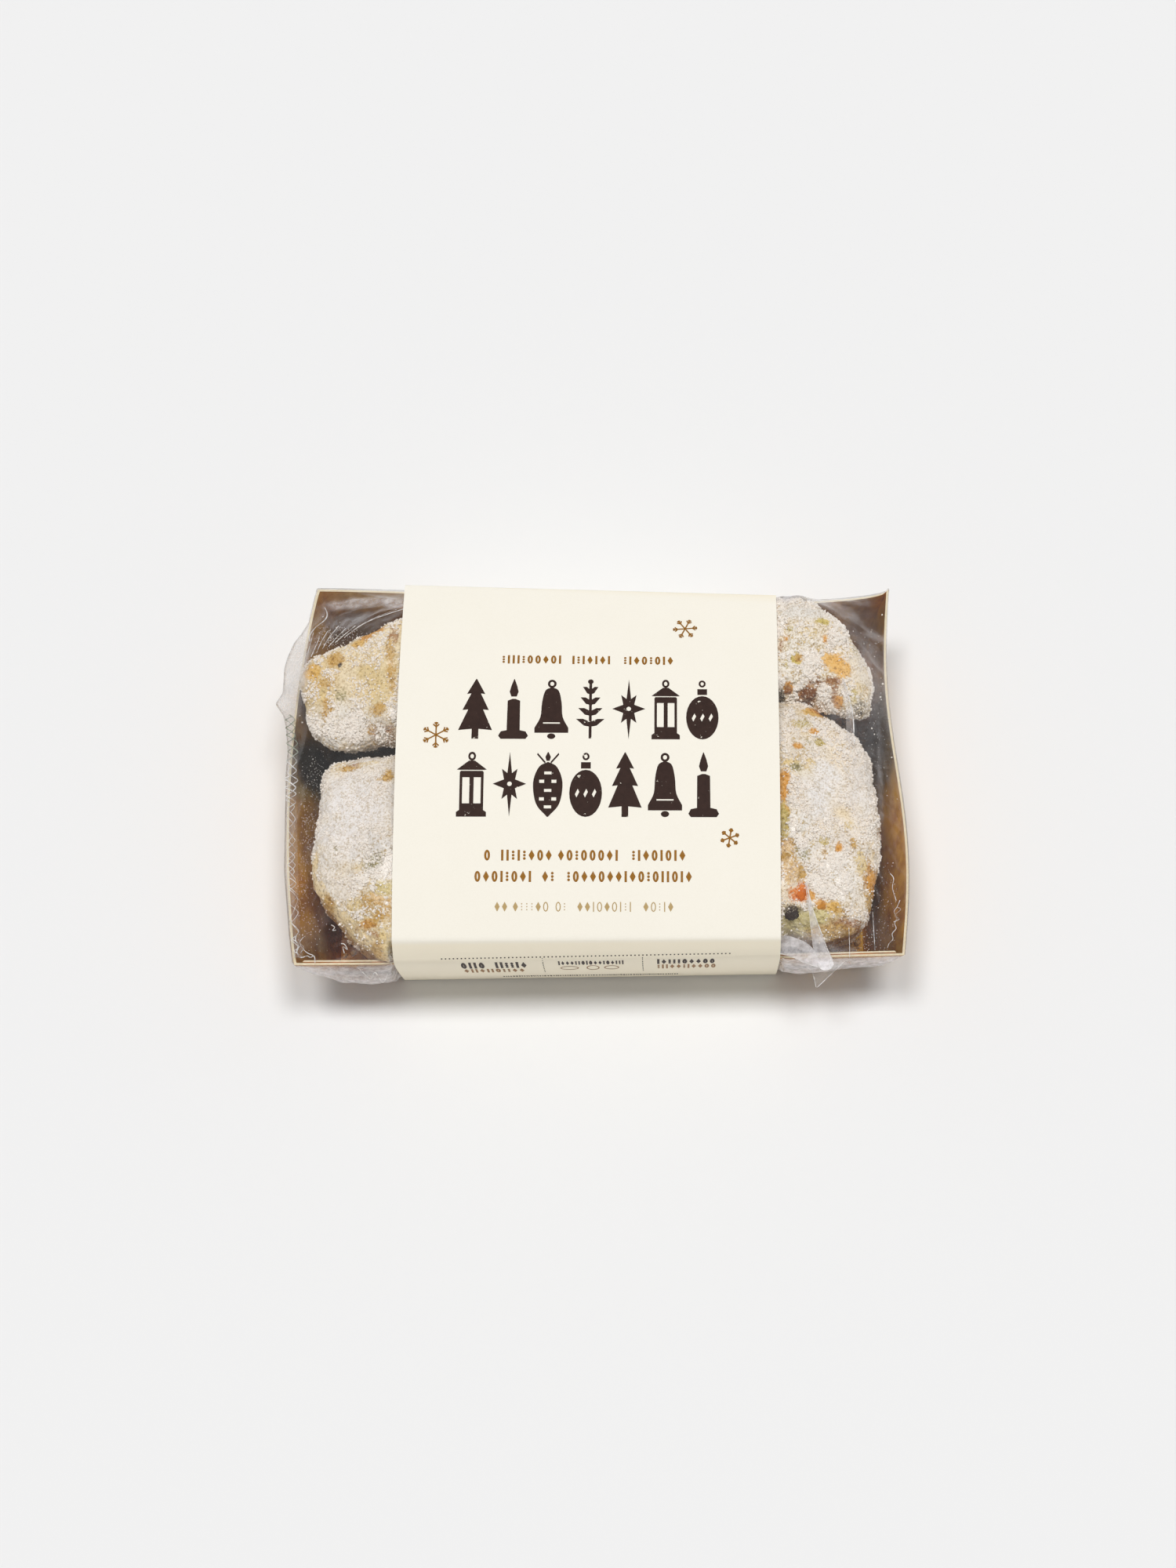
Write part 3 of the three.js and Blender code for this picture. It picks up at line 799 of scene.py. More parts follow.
# Where something other than sugar shows: x, y, half widths, tone and how strongly.
PATCHES = {
    "bite_back_1": (
        (-68.6, 38.2, 2.4, 1.7, "honey", 0.9), (-65.9, 40.7, 2.4, 1.5, "orange", 0.9),
        (-63.1, 42.4, 2.3, 1.4, "orange", 0.85), (-75.1, 32.7, 2.5, 2.7, "golden", 0.95),
        (-73.7, 30.8, 0.6, 0.8, "dark", 0.8), (-82.1, 29.1, 2.6, 2.6, "honey", 0.9),
        (-77.7, 24.8, 2.0, 2.3, "golden", 0.7), (-78.2, 20.6, 1.5, 2.5, "crumb", 0.6),
        (-77.1, 16.7, 1.7, 3.0, "golden", 0.75), (-73.0, 21.1, 1.6, 2.3, "green", 0.45),
        (-65.8, 28.2, 2.8, 2.0, "crumb", 0.7), (-61.8, 22.8, 4.6, 5.6, "crumb", 0.5),
        (-57.8, 27.2, 1.3, 5.6, "golden", 0.6), (-58.0, 39.0, 1.5, 3.1, "brown", 0.75),
        (-58.6, 33.6, 1.5, 3.1, "golden", 0.65), (-61.4, 15.2, 2.6, 1.7, "golden", 0.95),
        (-63.7, 10.6, 1.6, 1.7, "golden", 0.55), (-59.5, 8.3, 3.4, 3.1, "brown", 0.3),
    ),
    "bite_front_1": (
        (-69.9, -0.5, 3.0, 1.1, "golden", 0.95), (-67.0, 0.7, 2.9, 0.6, "brown", 0.6),
        (-57.9, -5.2, 1.7, 2.1, "golden", 0.95), (-59.9, -6.5, 1.5, 0.7, "golden", 0.7),
        (-63.1, 0.4, 3.4, 0.9, "crumb", 0.6), (-72.3, -27.2, 0.8, 1.5, "green", 0.6),
        (-78.7, -29.8, 1.1, 2.6, "golden", 1), (-60.9, -32.2, 3.4, 2.8, "green", 0.55),
        (-58.3, -40.6, 3.4, 2.8, "olive", 0.75), (-62.3, -43.8, 3.4, 2.2, "golden", 0.55),
        (-67.1, -43.8, 2.3, 2.2, "crumb", 0.6), (-57.1, -47.1, 2.1, 3.7, "golden", 0.6),
        (-60.0, -48.5, 2.3, 1.6, "golden", 0.85), (-63.8, -49.9, 2.6, 1.5, "amber", 1),
        (-59.6, -55.6, 3.0, 3.2, "golden", 1), (-61.3, -53.8, 2.3, 2.2, "brown", 0.5),
        (-57.2, -53.3, 1.7, 3.7, "crumb", 0.5), (-79.5, -32.2, 1.5, 5.6, "crust", 0.75),
        (-77.5, -38.1, 1.8, 3.7, "crust", 0.95), (-76.0, -40.8, 2.2, 2.5, "crust", 1),
        (-73.5, -43.6, 2.0, 2.2, "crust", 1), (-70.7, -46.9, 2.1, 2.2, "crust", 1),
        (-69.1, -49.2, 2.2, 2.2, "crust", 1), (-65.0, -52.9, 2.2, 2.2, "crust", 1),
        (-62.1, -55.0, 2.2, 1.9, "crust", 1), (-74.8, -41.7, 1.7, 1.9, "golden", 0.45),
        (-61.2, -55.6, 2.3, 1.2, "golden", 0.6),
    ),
    "bite_back_4": (
        (69.4, 44.7, 2.3, 1.2, "yellow", 1), (59.3, 41.5, 1.8, 0.9, "olive", 0.75),
        (58.1, 38.6, 0.9, 1.0, "orange", 0.6), (69.6, 38.6, 0.8, 1.4, "orange", 0.8),
        (65.1, 40.4, 2.8, 2.0, "crumb", 0.45), (61.0, 31.5, 1.9, 1.8, "yellow", 1),
        (62.0, 31.8, 1.4, 1.0, "golden", 0.6), (58.0, 29.4, 0.9, 1.5, "olive", 0.6),
        (71.9, 31.4, 3.3, 2.8, "apricot", 1), (74.7, 29.0, 2.6, 2.6, "apricot", 1),
        (78.3, 35.9, 1.3, 1.5, "olive", 0.6), (71.8, 24.6, 2.0, 2.1, "brown", 0.95),
        (72.1, 21.2, 1.8, 2.0, "brown", 0.8), (73.5, 19.3, 1.4, 1.4, "orange", 0.7),
        (64.5, 22.1, 2.7, 2.2, "deep", 1), (62.0, 21.2, 1.4, 1.5, "brown", 0.8),
        (58.5, 23.0, 1.5, 1.4, "orange", 0.95), (58.5, 22.7, 0.9, 0.9, "brown", 0.8),
        (56.5, 35.8, 0.9, 2.0, "brown", 0.75), (56.4, 21.6, 1.2, 1.4, "dark", 0.8),
        (66.8, 24.9, 2.6, 1.4, "brown", 0.5), (79.3, 24.0, 1.8, 2.5, "crumb", 0.6),
        (79.2, 17.9, 2.3, 2.3, "dark", 0.4), (77.3, 20.8, 1.4, 2.0, "olive", 0.5),
        (81.4, 30.5, 1.1, 3.0, "crumb", 0.5),
    ),
    "bite_front_4": (
        (66.0, 16.6, 3.7, 1.7, "honey", 1), (67.2, 17.9, 2.3, 1.2, "orange", 0.7),
        (62.9, 11.8, 2.5, 1.5, "olive", 0.7), (66.0, 9.5, 1.6, 1.1, "orange", 0.9),
        (67.3, 5.8, 1.7, 1.5, "olive", 0.85), (60.9, 3.9, 1.5, 0.9, "orange", 0.95),
        (64.4, 5.6, 1.1, 0.7, "green", 0.6), (58.7, -1.5, 2.8, 1.5, "crumb", 0.8),
        (60.3, -3.0, 1.6, 1.4, "green", 0.8), (64.3, -1.7, 1.7, 2.5, "crumb", 0.7),
        (56.8, -6.3, 1.6, 2.1, "orange", 1), (56.4, -10.4, 1.3, 3.7, "orange", 0.95),
        (56.6, -17.1, 1.6, 2.3, "honey", 1), (56.8, -17.6, 1.1, 1.5, "orange", 0.8),
        (71.0, 0.0, 0.8, 1.1, "golden", 0.55), (69.8, -10.3, 1.0, 1.7, "green", 0.3),
        (76.0, -19.8, 2.3, 1.7, "crumb", 0.5), (76.7, -25.5, 1.1, 1.5, "golden", 0.85),
        (72.5, -27.0, 1.2, 1.6, "orange", 0.9), (67.9, -25.0, 1.6, 1.7, "olive", 0.75),
        (68.1, -28.7, 0.7, 1.5, "golden", 0.6), (62.4, -30.0, 1.4, 2.1, "green", 0.6),
        (59.8, -28.9, 1.1, 1.9, "green", 0.45), (56.5, -22.5, 1.8, 6.0, "olive", 1),
        (57.4, -29.5, 2.4, 4.5, "golden", 1), (59.0, -35.2, 3.6, 3.2, "golden", 1),
        (81.4, -34.6, 2.6, 4.4, "amber", 1), (82.3, -36.8, 1.5, 3.1, "orange", 0.75),
        (81.5, -41.3, 1.5, 2.8, "golden", 0.85), (78.6, -31.0, 1.5, 3.5, "crumb", 0.65),
        (61.6, -40.7, 1.8, 2.3, "red", 1), (59.1, -41.3, 1.6, 2.0, "red", 0.6),
        (64.4, -41.6, 1.1, 1.2, "orange", 0.9), (67.0, -43.9, 1.6, 1.5, "orange", 1),
        (70.6, -44.4, 2.0, 1.7, "honey", 0.95), (72.4, -46.0, 2.3, 1.7, "golden", 0.6),
        (59.0, -46.0, 2.6, 1.9, "dark", 1), (61.6, -48.7, 6.3, 2.3, "lime", 0.8),
        (66.2, -47.3, 3.2, 2.2, "lime", 0.8), (72.5, -48.0, 3.4, 1.6, "crumb", 0.55),
        (76.7, -48.9, 6.4, 2.0, "brown", 0.9), (70.4, -50.4, 6.4, 1.6, "golden", 0.8),
    ),
}

# How the sugar differs from place to place: x, y, half widths, its colour and how much of
# that colour, how coarse it is, and how much thicker it lies.
ZONES = {
    "bite_back_1": (
        (-71, 11, 13, 7, "f1ece6", 0.9, 0.8, 0.12), (-62, 24, 6, 8, "ecd6a6", 0.7, 0.4, -0.08),
        (-80, 26, 5, 8, "e6ca90", 0.7, 0.4, -0.1), (-60, 8, 5, 4, "d8ccc0", 0.5, 1, -0.15),
    ),
    "bite_front_1": (
        (-69, -16, 11, 14, "f6f1ee", 1, 0.1, 0.25), (-60, -31, 6, 7, "f0ece8", 0.8, 0.7, 0),
        (-61, -43, 7, 7, "ecdcc0", 0.6, 1, -0.25), (-64, -52, 7, 7, "ecdcb4", 0.7, 0.7, -0.2),
    ),
    "bite_back_4": (
        (63, 48, 9, 3, "f2ede6", 1, 0, 0.3), (79, 31, 4, 8, "f4e9d6", 0.9, 0.15, 0.2),
        (63, 31, 8, 10, "fdf8f0", 0.8, 1, 0), (79, 18, 4, 4, "f4f0e8", 0.7, 1, -0.1),
    ),
    "bite_front_4": (
        (68, -8, 6, 11, "f7f3f0", 1, 0, 0.3), (80, -6, 4, 12, "f8f1ea", 1, 0, 0.3),
        (60, -25, 5, 7, "f8f5f0", 0.8, 1, -0.05), (70, -36, 7, 8, "faf6f2", 0.9, 1, 0),
        (62, -48, 9, 4, "e6ddb0", 0.7, 0.5, -0.1), (59, -2, 5, 4, "f0e0b8", 0.5, 0.4, -0.1),
    ),
}


def unit_ball(subdivisions):
    """Points and triangles of a unit sphere."""
    ball = bmesh.new()
    bmesh.ops.create_icosphere(ball, subdivisions=subdivisions, radius=1.0)
    points = np.array([vertex.co for vertex in ball.verts])
    faces = np.array([[vertex.index for vertex in face.verts] for face in ball.faces])
    ball.free()
    return points / np.linalg.norm(points, axis=1)[:, None], faces


def keep_in_tray(points, gap):
    """Pushes points to within the tray's walls; above the rim they may lean out."""
    kept = points.copy()
    share = np.clip((points[:, 2] - TRAY_BASE_Z) / TRAY_HEIGHT, 0, 1)
    lean = np.maximum(points[:, 2] - TRAY_RIM_Z, 0) * 1.1 - TRAY_CARD - gap
    kept[:, 0] = np.maximum(kept[:, 0], wall_place(LEFT, points[:, 1], share) - lean)
    kept[:, 0] = np.minimum(kept[:, 0], wall_place(RIGHT, points[:, 1], share) + lean)
    kept[:, 1] = np.maximum(kept[:, 1], wall_place(FRONT, points[:, 0], share) - lean)
    kept[:, 1] = np.minimum(kept[:, 1], wall_place(BACK, points[:, 0], share) + lean)
    kept[:, 2] = np.maximum(kept[:, 2], BITE_BASE_Z)
    return kept


def keep_under_sleeve(points, gap):
    """Pushes points to within the sleeve where it covers them."""
    kept = points.copy()
    x, y, z = points.T
    u = np.clip(sleeve_share(x), 0, 1)
    for side, out in (("front", -1), ("back", 1)):
        base, knee, fold = sleeve_side(side, u)
        low = np.clip(z / knee[:, 1], 0, 1)
        high = np.clip((z - knee[:, 1]) / (fold - knee)[:, 1], 0, 1)
        panel = base[:, 0] + (knee - base)[:, 0] * low + (fold - knee)[:, 0] * high
        panel -= out * (SLEEVE_CARD + gap)
        outside = (np.abs(x) < SLEEVE_REACH) & ((y - panel) * out > 0)
        kept[:, 1] = np.where(outside, panel, kept[:, 1])
    roof = dome_z(u, np.clip(top_share(u, y), 0, 1)) - SLEEVE_CARD - gap
    ease = smooth_step(SLEEVE_REACH, SLEEVE_REACH + 5, np.abs(x))
    kept[:, 2] = np.where(z > roof, roof + (z - roof) * ease, z)
    return kept


def patch_share(points, x, y, rx, ry, ragged):
    """How much a ragged patch on a bite's upper part covers each point, from 0 to 1."""
    away = np.hypot((points[:, 0] - x) / rx, (points[:, 1] - y) / ry)
    return smooth_step(1.65, 0.4, away + ragged) * (points[:, 2] > 25)


def coarseness(name, bite, points):
    """How coarse the sugar is, point by point."""
    ragged = 0.3 * noise(points, 5, bite.seed + 26)
    here = np.full(len(points), bite.coarse)
    for x, y, rx, ry, _, _, zone_coarse, _ in ZONES.get(name, ()):
        here += (zone_coarse - here) * patch_share(points, x, y, rx, ry, ragged)
    return here


def stickiness(name, bite, points):
    """Where bare fruit keeps the crust smooth, point by point."""
    ragged = 0.2 * noise(points, 2.6, bite.seed + 22)
    sticky = np.zeros(len(points))
    for x, y, rx, ry, kind, strength in PATCHES.get(name, ()):
        if kind in FRUIT_KINDS:
            sticky = np.maximum(sticky, strength * patch_share(points, x, y, rx, ry, ragged))
    return sticky


def bite_form(bite, ball):
    """A ball drawn out to a bite's outline and height."""
    outline, power = np.array(bite.outline, float), bite.squareness
    middle = (outline.min(axis=0) + outline.max(axis=0)) / 2
    curve = smooth_curve(outline, 8, closed=True) - middle
    angle = np.arctan2(curve[:, 1], curve[:, 0])
    order = np.argsort(angle)
    heading = np.arctan2(ball[:, 1], ball[:, 0])
    reach = np.interp(heading, angle[order], np.hypot(*curve.T)[order], period=2 * np.pi)
    flat, up = np.hypot(ball[:, 0], ball[:, 1]), ball[:, 2]
    scale = (flat**power + np.abs(up) ** power) ** (-1 / power)
    ways = np.column_stack([np.cos(heading), np.sin(heading)])
    spread = middle + (reach * flat * scale)[:, None] * ways
    crest = bite.top + (bite.sleeve_top - bite.top) * smooth_step(72, 57, np.abs(spread[:, 0]))
    height = np.where(up > 0, crest - bite.belly, bite.belly - BITE_BASE_Z)
    points = np.column_stack([spread, bite.belly + up * scale * height])
    below = np.clip(bite.belly - points[:, 2], 0, 18)
    points[:, 1] += bite.slant * below * smooth_step(0.0, 0.6, -ball[:, 1])
    return points


def bite_shape(name, bite, ball):
    """A bite's points, with its lumps and the relief of its sugar."""
    seed, middle = bite.seed, np.mean([min(bite.outline)[0], max(bite.outline)[0]])
    # The ball's points crowd toward what shows: its top, and its side at an end of the pack.
    ball = ball + [0.2 * np.sign(middle) * (abs(middle) > 50), 0.0, 0.45]
    ball /= np.linalg.norm(ball, axis=1)[:, None]
    points = bite_form(bite, ball)
    lumps = 1.7 * layered_noise(points, 17, seed, 2) + 0.9 * noise(points, 6.5, seed + 3)
    lumps += 0.5 * noise(points, 3.1, seed + 4)
    coarse, sticky = coarseness(name, bite, points), stickiness(name, bite, points)
    chunks = np.maximum(0.62 - cell_distance(points, 3.2, seed), 0)
    clumped = smooth_step(-0.4, 0.3, noise(points, 12, seed + 5))
    lumps += (0.2 + 1.4 * coarse) * chunks * (1 - sticky) * clumped
    specks = np.maximum(0.6 - cell_distance(points, 1.35, seed + 1), 0)
    grit = (0.3 + 0.8 * coarse) * specks + (0.12 + 0.2 * coarse) * noise(points, 1.1, seed + 6)
    lumps += grit * (1 - 0.8 * sticky)
    outward = ball * [0.8, 0.8, 1.0]
    points = points + outward * lumps[:, None]
    return keep_under_sleeve(keep_in_tray(points, BITE_TRAY_GAP), BITE_SLEEVE_GAP)


def bite_looks(name, bite, points):
    """What colour the crumb has and how thick its sugar lies, point by point."""
    seed = bite.seed
    tone = np.tile(color(CRUMB_TONES["crumb"]), (len(points), 1))
    warm = smooth_step(-0.5, 0.6, layered_noise(points, 8, seed + 20, 2))[:, None]
    tone = tone + (np.array(color(CRUMB_TONES["golden"])) - tone) * warm * 0.8
    sugar = 0.64 + 0.34 * layered_noise(points, 9, seed + 21, 3)
    sugar -= 0.3 * smooth_step(24, 12, points[:, 2])
    clean = np.array(color(bite.sugar))
    shaded = smooth_step(-0.2, 0.7, noise(points, 11, seed + 24))[:, None]
    sugar_tone = clean + (clean * SUGAR_SHADE - clean) * shaded
    soaked = smooth_step(0.0, 0.75, layered_noise(points, 7, seed + 25, 2))[:, None]
    ragged = 0.3 * noise(points, 5, seed + 26)
    for x, y, rx, ry, code, amount, _, thicker in ZONES.get(name, ()):
        there = patch_share(points, x, y, rx, ry, ragged)
        sugar_tone = toward(sugar_tone, code, amount * there)
        sugar += thicker * there
        soaked *= 1 - 0.6 * (there * (thicker > 0))[:, None]
    sugar_tone = sugar_tone + (clean * SOAKED_SUGAR - sugar_tone) * soaked
    sugar = np.clip(sugar, 0.0, 1.0)
    coarse = coarseness(name, bite, points)
    ragged = 0.34 * noise(points, 2.6, seed + 22) + 0.2 * noise(points, 1.2, seed + 23)
    for x, y, rx, ry, kind, strength in PATCHES.get(name, ()):
        edges, bared, smoothed = (0.6, 0.3, 0.8) if kind in FRUIT_KINDS else (1.0, 0.12, 0.4)
        there = patch_share(points, x, y, rx, ry, ragged * edges)
        tone = toward(tone, CRUMB_TONES[kind], np.minimum(1, there * 1.6))
        sugar -= (sugar + bared) * there * strength
        coarse = coarse * (1 - smoothed * there)
    return {"tone": tone, "sugar": np.clip(sugar, -0.5, 1), "sugar_tone": sugar_tone, "coarse": coarse}


def make_bites(finish):
    """Makes the bites and returns their points, faces and sugar, for what lies on them."""
    made = {}
    balls = {detail: unit_ball(detail) for detail in (HIDDEN_DETAIL, SHOWN_DETAIL)}
    for name, bite in BITES.items():
        ball, faces = balls[SHOWN_DETAIL if name in PATCHES else HIDDEN_DETAIL]
        points = bite_shape(name, bite, ball)
        looks = bite_looks(name, bite, points)
        add_mesh(f"stollen_{name}", points, faces, [finish], replaces=[name], fields=looks)
        made[name] = (points, faces, looks)
    return made


# ---------------------------------------------------------------- fruit, sugar and crumbs

# Fruit that stands out of the crumb: kind, x, y, half sizes, turn in degrees, tone, sugar on it.
FRUIT = (
    ("raisin", 58.9, -45.7, 2.9, 2.2, 1.7, 14, "dark", 0.16),
    ("raisin", 64.6, 22.2, 2.4, 1.8, 1.6, 15, "deep", 0.2),
    ("raisin", 58.4, 23.0, 1.5, 1.4, 1.2, -20, "brown", 0.24),
    ("raisin", 72.0, 24.4, 1.9, 1.7, 1.3, 60, "brown", 0.3),
    ("peel", 61.6, -40.7, 1.6, 1.9, 1.3, 20, "red", 0.08),
    ("peel", 67.0, -43.9, 1.4, 1.2, 1.0, 10, "orange", 0.08),
    ("raisin", -73.7, 30.8, 0.6, 0.8, 0.9, 0, "dark", 0.2),
)
FRUIT_SEED = 70
GRAIN_COUNT = 20000
GRAIN_SIZES = (0.2, 0.46)
# Dust on the inside of the film: x, y, half widths, how many specks, and how large.
DUST = (
    (-81.5, 1, 4.5, 8, 150, 0.1), (-83, -14, 3.2, 10, 160, 0.1), (-80, 24, 4, 12, 90, 0.1),
    (-78, 47, 6, 4, 170, 0.12), (-70, 46, 5, 3, 90, 0.12), (-80, -46, 5, 9, 50, 0.12),
    (84, 14, 5, 22, 90, 0.11), (82, 44, 6, 12, 40, 0.12), (86, -40, 4, 14, 90, 0.11),
    (80, -50, 6, 5, 70, 0.12), (-83, -34, 3, 12, 160, 0.1),
)
# Larger specks, as x, y and size, which all lie at one height.
SPECK_Z = 35.5
SPECKS = (
    (87.5, 51.6, 0.34), (78.7, 46.2, 0.26), (87.1, 28.9, 0.36), (86.3, 24.6, 0.4), (86.5, 23.8, 0.3),
    (83.5, 14.5, 0.36), (84.2, 12.6, 0.26), (88.6, 17.5, 0.3), (89.1, 5.2, 0.3), (-86, 18.6, 0.2),
    (-85.2, 16.4, 0.26), (-80.6, 51, 0.2), (-86.5, 3.4, 0.24), (-71, -46.6, 0.4), (-70.2, -47.2, 0.3),
    (-74.4, -42, 0.34), (90.4, -8, 0.2), (88.6, -28, 0.2),
)
OCTAHEDRON = np.array([[1, 0, 0], [-1, 0, 0], [0, 1, 0], [0, -1, 0], [0, 0, 1], [0, 0, -1]], float)
OCTAHEDRON_SIDES = np.array([
    [0, 2, 4], [2, 1, 4], [1, 3, 4], [3, 0, 4], [2, 0, 5], [1, 2, 5], [3, 1, 5], [0, 3, 5],
])
CRUMB_COUNT = 420


def surface_trees(bites):
    """The bites' surfaces, for finding what lies below a place."""
    return [BVHTree.FromPolygons(points.tolist(), faces.tolist()) for points, faces, _ in bites.values()]


def drop(trees, x, y):
    """The highest place on the bites at x, y, or 0 beside them."""
    found = [tree.ray_cast(Vector((x, y, 90)), Vector((0, 0, -1)))[0] for tree in trees]
    return max((place.z for place in found if place is not None), default=0)


def turned(points, degrees):
    """Points turned about the vertical."""
    c, s = math.cos(math.radians(degrees)), math.sin(math.radians(degrees))
    return points @ np.array([[c, s, 0], [-s, c, 0], [0, 0, 1]])


def fruit_shape(ball, kind, half_sizes, seed):
    """A piece of fruit about its middle: a wrinkled raisin or a lump of peel."""
    if kind == "peel":
        ball = ball / (np.abs(ball) ** 3).sum(axis=1)[:, None] ** (1 / 3)
    points = ball * half_sizes
    large, small = noise(points, 2.0, seed + 5)[:, None], noise(points, 1.0, seed + 6)[:, None]
    points = points + 0.5 * large * ball + 0.25 * small * ball
    if kind == "raisin":
        folds = np.abs(noise(points, 1.7, seed)) + 0.5 * np.abs(noise(points, 0.9, seed + 1))
        return points * (1.04 - 0.32 * (1 - folds)[:, None] ** 3)
    swelling = 1 + 0.12 * noise(points, 2.2, seed) + 0.05 * noise(points, 0.8, seed + 1)
    return points * swelling[:, None]


def make_fruit(trees, finish):
    """Sinks the fruit into the bites and returns its points."""
    ball, ball_faces = unit_ball(4)
    pieces, tones, sugar = [], [], []
    for seed, (kind, x, y, rx, ry, rz, turn, tone, dusting) in enumerate(FRUIT, FRUIT_SEED):
        shape = turned(fruit_shape(ball, kind, [rx, ry, rz], seed), turn)
        pieces.append((shape + [x, y, drop(trees, x, y) - 0.66 * rz], ball_faces))
        tones.append(np.tile(color(CRUMB_TONES[tone]), (len(ball), 1)))
        sugar.append(np.full(len(ball), dusting))
    points, faces = join(pieces)
    fields = {"tone": np.concatenate(tones), "sugar": np.concatenate(sugar)}
    add_mesh("candied_fruit", points, faces, [finish], fields=fields)
    return points


def scatter(rng, shape_points, shape_faces, places, sizes):
    """Copies a small shape to many places, each turned and sized at random."""
    turns = rng.normal(size=(len(places), 4))
    a, b, c, d = (turns / np.linalg.norm(turns, axis=1)[:, None]).T
    rotation = np.stack([
        1 - 2 * (c * c + d * d), 2 * (b * c - a * d), 2 * (b * d + a * c),
        2 * (b * c + a * d), 1 - 2 * (b * b + d * d), 2 * (c * d - a * b),
        2 * (b * d - a * c), 2 * (c * d + a * b), 1 - 2 * (b * b + c * c),
    ], -1).reshape(-1, 3, 3)
    squeezed = shape_points[None] * rng.uniform(0.7, 1.3, (len(places), 3))[:, None]
    shapes = np.einsum("nij,npj->npi", rotation, squeezed) * sizes[:, None, None]
    faces = shape_faces[None] + (np.arange(len(places)) * len(shape_points))[:, None, None]
    return (shapes + places[:, None]).reshape(-1, 3), faces.reshape(-1, shape_faces.shape[1])


def dust_places(rng, trees):
    """Places and sizes of the specks of sugar between the bites and the film."""
    places, sizes = [], []
    for x, y, rx, ry, count, size in DUST:
        flat = np.array([x, y]) + np.clip(rng.normal(0, 0.5, (count, 2)), -1, 1) * [rx, ry]
        places.append(np.column_stack([flat, rng.uniform(26, 33, count)]))
        sizes.append(size * rng.uniform(0.6, 1.5, count))
    for x, y, size in SPECKS:
        places.append([[x, y, SPECK_Z]])
        sizes.append([size])
    places, sizes = np.concatenate(places), np.concatenate(sizes)
    free = np.array([drop(trees, x, y) < z for x, y, z in places])
    return keep_in_tray(places, 0.5)[free], sizes[free]


def make_grains(bites, trees, finish):
    """Crystals of sugar on the parts of the bites that show, thickest on the coarse ones."""
    rng = np.random.default_rng(5)
    places, odds, scales = [], [], []
    for name in PATCHES:
        points, faces, looks = bites[name]
        sugar, coarse = looks["sugar"][faces[:, 0]], looks["coarse"][faces[:, 0]]
        corners = points[faces]
        normal = np.cross(corners[:, 1] - corners[:, 0], corners[:, 2] - corners[:, 0])
        area = np.linalg.norm(normal, axis=1)
        normal /= area[:, None]
        middle = corners.mean(axis=1)
        clumps = smooth_step(-0.35, 0.5, noise(middle, 5.0, 61))
        clumps *= 0.1 + 0.9 * smooth_step(0.05, 0.5, sugar)
        shown = (np.abs(middle[:, 0]) > 54) & (normal[:, 2] > -0.1) & (middle[:, 2] > 22)
        places.append(middle + normal * 0.12)
        odds.append(area * shown * clumps * (0.12 + coarse))
        scales.append(0.8 + 0.5 * coarse)
    places, odds, scales = (np.concatenate(parts) for parts in (places, odds, scales))
    chosen = rng.choice(len(places), GRAIN_COUNT, p=odds / odds.sum())
    # A tenth of the grains are half as large again.
    sizes = rng.uniform(*GRAIN_SIZES, GRAIN_COUNT) * (1 + 0.5 * (rng.random(GRAIN_COUNT) < 0.1))
    jitter = rng.uniform(-0.25, 0.25, (GRAIN_COUNT, 3))
    dust, dust_sizes = dust_places(rng, trees)
    places = np.concatenate([places[chosen] + jitter, dust])
    sizes = np.concatenate([sizes * scales[chosen], dust_sizes])
    points, faces = scatter(rng, OCTAHEDRON, OCTAHEDRON_SIDES, places, sizes)
    add_mesh("sugar_grains", points, faces, [finish], smooth=False)


def make_crumbs(finish):
    """Crumbs on the tray's floor, in the gaps beside the bites."""
    rng = np.random.default_rng(9)
    ball, faces = unit_ball(1)
    crumb = ball * (1 + 0.25 * noise(ball, 0.8, 3)[:, None])
    y = rng.uniform(-47, 47, CRUMB_COUNT)
    left = rng.random(CRUMB_COUNT) < 0.5
    low = np.full(CRUMB_COUNT, 0.02)
    walls = np.where(left, wall_place(LEFT, y, low), wall_place(RIGHT, y, low))
    x = walls + np.where(left, 1, -1) * (1.5 + 7 * rng.random(CRUMB_COUNT) ** 1.6)
    sizes = 0.35 + 0.9 * rng.random(CRUMB_COUNT) ** 3
    places = np.column_stack([x, y, TRAY_BASE_Z + TRAY_CARD + sizes * 0.6])
    points, faces = scatter(rng, crumb, faces, places, sizes)
    add_mesh("loose_crumbs", points, faces, [finish], smooth=False)


# ---------------------------------------------------------------- film bag

FILM_GAP = 0.3
FILM_LIFT = 0.5
FILM_RIM_Z = 33.5
FILM_END_STEP = 0.7
FILM_MIDDLE_STEP = 3.5
FILM_HUB = 42.0
FILM_ROWS = 84
FILM_WALL_ROWS = 22
# How far the film stays under the sleeve and, at least, off the tray's walls.
FILM_SLEEVE_GAP = 0.15
FILM_WALL_GAP = 0.1
# Where the film's walls end, and the height and sizes of its turn below the tray.
FILM_FOOT_Z = 0.9
FILM_BASE_Z = 0.8
FILM_TURN = (0.96, 0.88, 0.8)
# Creases over the whole film: size, seed and height.
FILM_FOLDS = ((5.5, 31, 0.3), (2.6, 32, 0.12))

# How far out the slack film stands beside the left rim, as y and x.
LEFT_SLACK = (
    (-58.4, -84.9), (-50, -86.2), (-30, -88.6), (0, -89.6), (8, -89.4), (15.2, -90.2), (19.3, -91.2),
    (23.2, -93.8), (26.5, -91.8), (30, -91.7), (34.6, -91.7), (38.4, -90.9), (43.1, -89.2), (46.4, -87),
    (50.3, -85.0), (61.2, -83.2),
)
